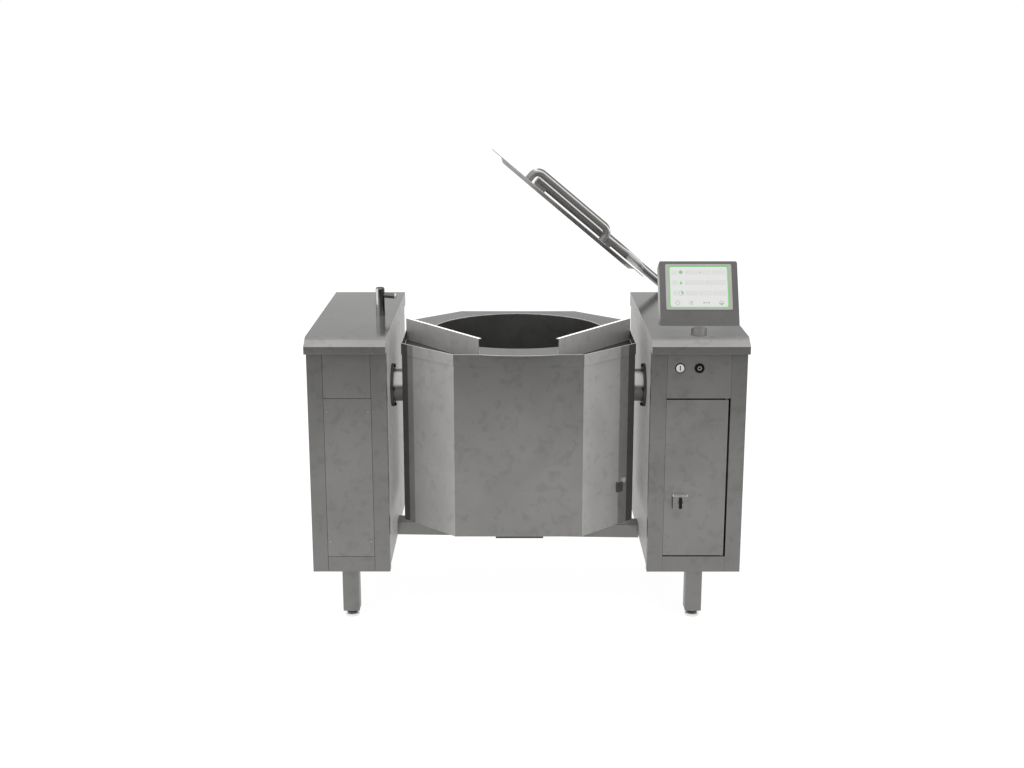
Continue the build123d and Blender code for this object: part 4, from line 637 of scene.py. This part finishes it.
# %% Faces by direction
def paint_faces(piece, material, test):
    """Gives another material to the faces whose direction and middle pass a test."""
    piece.data.materials.append(material)
    slot = len(piece.data.materials) - 1
    chosen = 0
    for face in piece.data.polygons:
        if test(face.normal, face.center):
            face.material_index = slot
            chosen += 1
    return chosen


def slanted(normal, middle):
    """An upright face that looks part sideways and part forwards or back."""
    return abs(normal.z) < 0.3 and abs(normal.x) > 0.3 and abs(normal.y) > 0.3


def beside(normal, middle):
    """A slanted face near the kettle's left or right edge."""
    return slanted(normal, middle) and not kettle_shade_strip_cuts[0] < middle.x < kettle_shade_strip_cuts[1]


def outermost(normal, middle):
    """A slanted face right at the kettle's left or right edge."""
    return slanted(normal, middle) and not kettle_edges[0] < middle.x < kettle_edges[1]


def level(normal, middle):
    """A face that looks up."""
    return normal.z > 0.95


def brow(normal, middle):
    """The narrow round between an upright face and a level one."""
    return 0.2 < normal.z <= 0.95


def inward(normal, middle):
    """A face that looks from a pedestal to the kettle."""
    return normal.x * (middle.x - kettle_x) < 0 and abs(normal.x) > 0.9 and abs(middle.x) < 0.5


def leftward(normal, middle):
    """A face that looks to the left."""
    return normal.x < -0.9


def sloped(normal, middle):
    """The worktop's sloping front."""
    return 0.5 < normal.z < 0.97 and normal.y < -0.2


def lip(normal, middle):
    """The worktop's upright front lip."""
    return abs(normal.z) < 0.5 and normal.y < -0.5


# %% [markdown]
# The four slanted sides of the kettle look at the pedestals and not at the room, so on
# the real machine they are the brightest sheets. Here that light is painted: they get their
# own much lighter steel, and so do the slanted faces of the collar and the guides, with
# strips of painted shade near the kettle's left and right edges. Level faces of the collar
# get the deck's steel, and the rounds along its edges and the guides' tops a painted
# highlight that also glows.

# %% Painted kettle
for name in ("kettle_cladding", "kettle_collar", "pouring_guides"):
    print(name, "slanted faces:", paint_faces(pieces[name], facet_painted_light_steel, slanted))
for name in ("kettle_cladding", "kettle_collar"):
    print(name, "painted shade faces:", paint_faces(pieces[name], painted_shade_strip_steel, beside),
          "painted deep shade faces:", paint_faces(pieces[name], painted_deep_shade_strip_steel, outermost))
print("deck faces:", paint_faces(pieces["kettle_collar"], deck_steel, level))
print("bright collar edges:", paint_faces(pieces["kettle_collar"], rim_painted_highlight_steel, brow))
print("bright guide tops:", paint_faces(pieces["pouring_guides"], rim_painted_highlight_steel, level))

# %% [markdown]
# On the pedestals, a worktop's sloping front has painted light that makes it lighter than its
# top, and the side that looks to the kettle has the inner covers' steel with its painted glow.
# The feet, the plug's cap and the lock's edges are polished and painted bright as highlights,
# and the lock's left side is painted dark as shade, which sets the lock off from the door. The
# panel's housing is painted lighter on its left side. Its housing, back cover and neck are left
# out of reflections, because in the photograph the worktop hardly mirrors them.

# %% Painted pedestals
plug_cap = 0.014
foot_pad = 0.011
for name in ("left_worktop", "right_worktop"):
    print(name, "slope:", paint_faces(pieces[name], painted_light_steel, sloped),
          "lip:", paint_faces(pieces[name], lip_steel, lip),
          "inner side:", paint_faces(pieces[name], cover_painted_glow_steel, inward))
plug_top = Vector(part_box("jacket_plug")[1]).z
print("plug cap:", paint_faces(pieces["jacket_plug"], polished_painted_highlight_steel,
                               lambda normal, middle: middle.z > plug_top - plug_cap))
print("bright feet:", paint_faces(pieces["levelling_feet"], polished_painted_highlight_steel,
                                  lambda normal, middle: middle.z < foot_pad))
print("bright lock edges:", paint_faces(pieces["lock_plate"], rim_painted_highlight_steel, brow),
      paint_faces(pieces["lock_plate"], polished_painted_highlight_steel, level))
# Painted shade: the lock's left side faces get dark steel.
print("painted shade on the lock's left side:", paint_faces(pieces["lock_plate"], dark_steel, leftward))
print("housing side:", paint_faces(pieces["panel_housing"], painted_light_steel, leftward))
for name in ("panel_housing", "panel_back_cover", "panel_neck"):
    pieces[name].visible_glossy = False

# %% [markdown]
# The other nodes have the right shape already, so they keep their CAD mesh and get only a
# material. Apart from the bowl, the screen and some bolts, they are hidden inside the
# pedestals and under the cladding. What is not on the list is dark steel.

# %% Materials of the nodes that stay
finish = {
    "kettle_bowl": bowl_steel, "bowl_bottom": bowl_steel, "steam_jacket": bowl_steel,
    "kettle_bottom": cladding_steel, "left_frame": frame_paint, "right_frame": frame_paint,
    "bearing_bolts": bolt_steel, "panel_screws": tube_steel, "lid_shaft": tube_steel,
    "touch_screen": screen_green, "water_valve": brass, "water_pipe": tube_steel,
    "water_inlet": brass, "cable_gland": gland_black, "control_box": frame_paint,
}
for name, node in nodes.items():
    if node.hide_render:
        continue
    node.data.materials.clear()
    node.data.materials.append(finish.get(name, dark_steel))
print("nodes that stay:", sum(1 for node in nodes.values() if not node.hide_render))

# %% [markdown]
# The small parts are modelled lying flat in the middle of the scene, where they are easy
# to think about. One helper then puts each in its place, applies that place to the mesh,
# turns the faces outwards and lets the piece ride on its body.


# %% Settling
def settle(piece, name, material, body, centre, turn):
    """Puts a shape in its place on a body, as a finished piece."""
    piece.name = name
    piece.location = centre
    piece.rotation_euler = turn
    activate(piece)
    bpy.ops.object.transform_apply(location=True, rotation=True, scale=True)
    bpy.ops.object.mode_set(mode="EDIT")
    bpy.ops.mesh.select_all(action="SELECT")
    bpy.ops.mesh.normals_make_consistent(inside=False)
    bpy.ops.object.mode_set(mode="OBJECT")
    bpy.ops.object.shade_smooth_by_angle(angle=smooth_angle)
    piece.data.materials.clear()
    piece.data.materials.append(material)
    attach(piece, body)
    return piece


# %% [markdown]
# Round parts are drawn out of a disc, step by step, the way a turner thinks of them: a
# height and a radius, again and again.


# %% Turned shapes
def turned(steps, sides):
    """A round piece drawn out of a disc; each step is a height and a radius."""
    bpy.ops.object.select_all(action="DESELECT")
    height, radius = steps[0]
    bpy.ops.mesh.primitive_circle_add(vertices=sides, radius=radius, fill_type="NGON")
    piece = bpy.context.object
    bpy.ops.object.mode_set(mode="EDIT")
    bpy.ops.mesh.select_all(action="SELECT")
    bpy.ops.transform.translate(value=(0, 0, height))
    for new_height, new_radius in steps[1:]:
        bpy.ops.mesh.extrude_region_move(TRANSFORM_OT_translate={"value": (0, 0, new_height - height)})
        size = new_radius / radius
        bpy.ops.transform.resize(value=(size, size, 1), center_override=(0, 0, new_height))
        height, radius = new_height, new_radius
    bpy.ops.object.mode_set(mode="OBJECT")
    return piece


# %% [markdown]
# Small flat parts start as a plane or a circle, are shaped in edit mode and get their
# thickness from one extrusion. A border or a ring is what an inset leaves when the face
# inside it is deleted.


# %% Flat shapes
def thicken(thickness, middle, rise):
    """Ends a flat shape in edit mode: moves it to its place and draws it out."""
    bpy.ops.mesh.select_all(action="SELECT")
    bpy.ops.transform.translate(value=(middle[0], middle[1], rise))
    bpy.ops.mesh.extrude_region_move(TRANSFORM_OT_translate={"value": (0, 0, thickness)})
    bpy.ops.object.mode_set(mode="OBJECT")
    return bpy.context.object


def flat_plate(width, height, corner, thickness, middle=(0, 0), rise=0.0, spin=0.0, frame_width=0.0):
    """A thin plate with round corners; with a frame width only its border is left."""
    bpy.ops.object.select_all(action="DESELECT")
    bpy.ops.mesh.primitive_plane_add(size=1)
    bpy.ops.object.mode_set(mode="EDIT")
    bpy.ops.mesh.select_all(action="SELECT")
    bpy.ops.transform.resize(value=(width, height, 1), center_override=(0, 0, 0))
    if corner:
        bpy.ops.mesh.bevel(offset=corner, segments=5, affect="VERTICES")
    if spin:
        bpy.ops.transform.rotate(value=spin, orient_axis="Z", center_override=(0, 0, 0))
    if frame_width:
        bpy.ops.mesh.select_all(action="SELECT")
        bpy.ops.mesh.inset(thickness=frame_width)
        bpy.ops.mesh.delete(type="FACE")
    return thicken(thickness, middle, rise)


def flat_disc(radius, thickness, middle=(0, 0), rise=0.0, ring_width=0.0, point=0.0, cuts=()):
    """A thin disc: with a ring width only its rim is left, a point draws one end out into a
    drop, and each cut is a direction in which the disc is trimmed through its middle."""
    bpy.ops.object.select_all(action="DESELECT")
    bpy.ops.mesh.primitive_circle_add(vertices=32, radius=radius, fill_type="NGON")
    piece = bpy.context.object
    bpy.ops.object.mode_set(mode="EDIT")
    bpy.ops.mesh.select_all(action="SELECT")
    for cut in cuts:
        bpy.ops.mesh.select_all(action="SELECT")
        bpy.ops.mesh.bisect(plane_co=(0, 0, 0), plane_no=(*cut, 0), clear_outer=True)
    if ring_width:
        bpy.ops.mesh.inset(thickness=ring_width)
        bpy.ops.mesh.delete(type="FACE")
    if point:
        shape = bmesh.from_edit_mesh(piece.data)
        for vertex in shape.verts:
            if vertex.co.y > 0:
                vertex.co.x *= 1 - 0.9 * vertex.co.y / radius
                vertex.co.y *= 1 + point / radius
        bmesh.update_edit_mesh(piece.data)
    return thicken(thickness, middle, rise)


def joined(parts):
    """Several shapes made one."""
    activate(parts[0])
    for part in parts[1:]:
        part.select_set(True)
    bpy.ops.object.join()
    return bpy.context.object


# %% [markdown]
# The touch screen shows three settings as rows of pale fields, each with a green sign, and
# four buttons below. The glass itself is green and shows only as a border. On it lie thin
# plates: a white page, the fields, and then the signs. They are laid out flat, in
# millimetres from the middle of the screen, and then turned into the panel's plane.

# %% Screen artwork
mm = 0.001
screen_low, screen_high = (Vector(v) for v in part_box("touch_screen"))
screen_glass = 1.2 * mm
screen_face = (screen_low + screen_high) / 2 + panel_out * screen_glass / 2
screen_turn = (math.pi / 2 - panel_lean, 0, 0)
row_height = 15 * mm
first_row = 45.5
second_row = 13.0
third_row = -19.3
rows = [
    (first_row, [(-79.5, -63.5), (-40.0, -2.8), (-0.9, 36.9), (40.6, 80.0)]),
    (second_row, [(-78.4, -62.8), (-40.0, 17.6), (19.4, 80.0)]),
    (third_row, [(-77.5, -61.8), (-39.5, -1.0), (2.0, 39.5), (43.5, 81.5)]),
]


def on_screen(part, name, material):
    """Lays a flat shape on the screen."""
    return settle(part, name, material, "base", screen_face, screen_turn)


on_screen(flat_plate(168.5 * mm, 123.4 * mm, 5 * mm, 0.12 * mm, rise=0.02 * mm), "screen_page", screen_white)
fields = []
for height, spans in rows:
    for left, right in spans:
        middle = ((left + right) / 2 * mm, height * mm)
        fields.append(flat_plate((right - left) * mm, row_height, 1.2 * mm, 0.08 * mm, middle, 0.12 * mm))
on_screen(joined(fields), "screen_fields", screen_row)
print("screen fields:", len(fields))

# %% [markdown]
# The signs are simple: squares that stand on a corner, rings, a drop, a cut disc and some
# dashes. All signs of one colour are joined to one piece, so the screen has a grey, a
# green and a pale green layer.

# %% Grey signs
sign_rise = 0.2 * mm
sign_thick = 0.08 * mm
sign_x = -52.3 * mm
button_row = -49.4 * mm
tag_middle = (-63.5 * mm, button_row)
level_middle = (65.2 * mm, button_row)
on_corner = math.radians(45)
greys = [
    flat_plate(10 * mm, 10 * mm, 1.5 * mm, sign_thick, (sign_x, first_row * mm), sign_rise,
               spin=on_corner, frame_width=1.1 * mm),
    flat_disc(7 * mm, sign_thick, (sign_x, third_row * mm), sign_rise, ring_width=0.7 * mm),
]
for middle in (tag_middle, level_middle):
    greys.append(flat_plate(11 * mm, 11 * mm, 1.2 * mm, sign_thick, middle, sign_rise,
                            spin=on_corner, frame_width=0.8 * mm))
for line in range(3):
    spot = (-22.2 * mm, (-45.4 - 4.0 * line) * mm)
    greys.append(flat_plate(7 * mm, 1.1 * mm, 0.3 * mm, sign_thick, spot, sign_rise))
for dash, width in ((14.0, 5), (20.8, 3), (27.2, 5)):
    greys.append(flat_plate(width * mm, 2.6 * mm, 0.6 * mm, sign_thick, (dash * mm, button_row), sign_rise))
on_screen(joined(greys), "screen_grey_signs", grey_mark)
print("grey signs:", len(greys))

# %% Green signs
greens = [
    flat_disc(4.2 * mm, sign_thick, (sign_x, first_row * mm), sign_rise),
    flat_disc(3.9 * mm, sign_thick, (sign_x, 11.2 * mm), sign_rise, point=4.5 * mm),
    flat_disc(6.2 * mm, sign_thick, (sign_x, third_row * mm), sign_rise, cuts=[(-1, 0), (-0.7, -0.7)]),
    flat_disc(5.2 * mm, sign_thick, (level_middle[0], level_middle[1] - 0.5 * mm), sign_rise, cuts=[(0, 1)]),
    flat_plate(1.4 * mm, 9.4 * mm, 0.4 * mm, sign_thick, (-28.4 * mm, button_row), sign_rise),
    flat_disc(2.8 * mm, sign_thick, (5.4 * mm, 45.8 * mm), sign_rise, cuts=[(0.7, 0.7)]),
]
on_screen(joined(greens), "screen_green_signs", screen_green)

faint = []
for left, height in ((-33.5, first_row), (46.5, first_row), (-71.0, second_row), (-35.2, 12.2),
                     (26.2, second_row), (-70.8, third_row), (-34.9, -19.8), (5.7, third_row),
                     (46.0, third_row)):
    faint.append(flat_disc(1.9 * mm, sign_thick, (left * mm, height * mm), sign_rise, ring_width=0.8 * mm))
on_screen(joined(faint), "screen_pale_signs", pale_green)
print("green signs:", len(greens), "pale signs:", len(faint))

# %% [markdown]
# The start button has a white cap with an upright bar, and the stop button a black cap
# with a ring. Both marks are printed, so they stand only a hair above the cap and travel
# with it.

# %% Button marks
facing = (math.pi / 2, 0, 0)
mark_thick = 0.25 * mm
mark_sunk = -0.1 * mm


def button_face(node):
    """The middle of a button's front face."""
    low, high = (Vector(v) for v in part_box(node))
    return Vector(((low.x + high.x) / 2, low.y, (low.z + high.z) / 2))


settle(flat_plate(2.8 * mm, 15 * mm, 0.8 * mm, mark_thick, rise=mark_sunk), "start_mark", black_cap,
       "start_button_body", button_face("start_button"), facing)
settle(flat_disc(5.8 * mm, mark_thick, rise=mark_sunk, ring_width=1.6 * mm), "stop_mark", pale_mark,
       "stop_button_body", button_face("stop_button"), facing)
print("button marks: 2")

# %% [markdown]
# The door's latch is a black bar with round ends. The copy of the latch is trimmed where
# its square bar begins, and the round one takes its place and turns with it.

# %% Latch bar
latch_front = Vector(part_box("door_latch")[0]).y
bar_depth = 5 * mm
latch = pieces["door_latch"]
activate(latch)
bpy.ops.object.mode_set(mode="EDIT")
bpy.ops.mesh.select_all(action="SELECT")
bpy.ops.mesh.bisect(plane_co=(0, latch_front + bar_depth, 0), plane_no=(0, -1, 0), clear_outer=True,
                    use_fill=True)
bpy.ops.object.mode_set(mode="OBJECT")
latch.data.materials.clear()
latch.data.materials.append(front_steel)
lock_low, lock_high = (Vector(v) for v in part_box("lock_plate"))
lock_middle = (lock_low + lock_high) / 2
settle(flat_plate(9.6 * mm, 34 * mm, 4.7 * mm, bar_depth), "latch_bar", black_cap, "latch",
       (lock_middle.x, latch_front + bar_depth, lock_middle.z), facing)
print("latch bar at", tuple(round(v, 3) for v in lock_middle))

# %% [markdown]
# The spout ends in a small ring that calms the water. It is a turned part with a rolled
# edge, pushed over the end of the spout, and it swivels with it.

# %% Spout ring
spout_rise = 64
spout_length = 50.2
spout_way = Vector((50, 0, -5)).normalized()
ring_steps = [(-5 * mm, 8.3 * mm), (-4.4 * mm, 8.9 * mm), (-1.2 * mm, 8.9 * mm), (-0.6 * mm, 8.5 * mm),
              (-0.4 * mm, 6.4 * mm), (-2.4 * mm, 5.2 * mm)]
spout_root = Vector((tap_middle.x, tap_middle.y, worktop_height + spout_rise * mm))
spout_end = spout_root + spout_way * spout_length * mm
ring = turned(ring_steps, 32)
settle(ring, "spout_ring", polished_painted_highlight_steel, "spout", spout_end, spout_way.to_track_quat("Z", "Y").to_euler())
print("spout ring at", tuple(round(v, 3) for v in spout_end))

# %% [markdown]
# Four shallow rivets hold the door's inner frame. From four metres they are only faint
# dimples, but they tell the eye that the door is a sheet on a frame.

# %% Door rivets
door_low, door_high = (Vector(v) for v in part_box("service_door"))
rivet_steps = [(-0.4 * mm, 3.4 * mm), (0.0, 3.4 * mm), (0.5 * mm, 2.9 * mm), (0.8 * mm, 2.1 * mm),
               (0.9 * mm, 1.2 * mm), (0.55 * mm, 0.8 * mm)]
rivet_left = door_low.x + 7.6 * mm
rivet_right = 585.3 * mm
rivet_high = door_high.z - 36 * mm
rivet_low = door_low.z + 42 * mm
for side, x in (("left", rivet_left), ("right", rivet_right)):
    for end, z in (("high", rivet_high), ("low", rivet_low)):
        settle(turned(rivet_steps, 24), "door_rivet_" + side + "_" + end, front_steel, "door",
               (x, door_low.y, z), facing)
print("door rivets: 4")
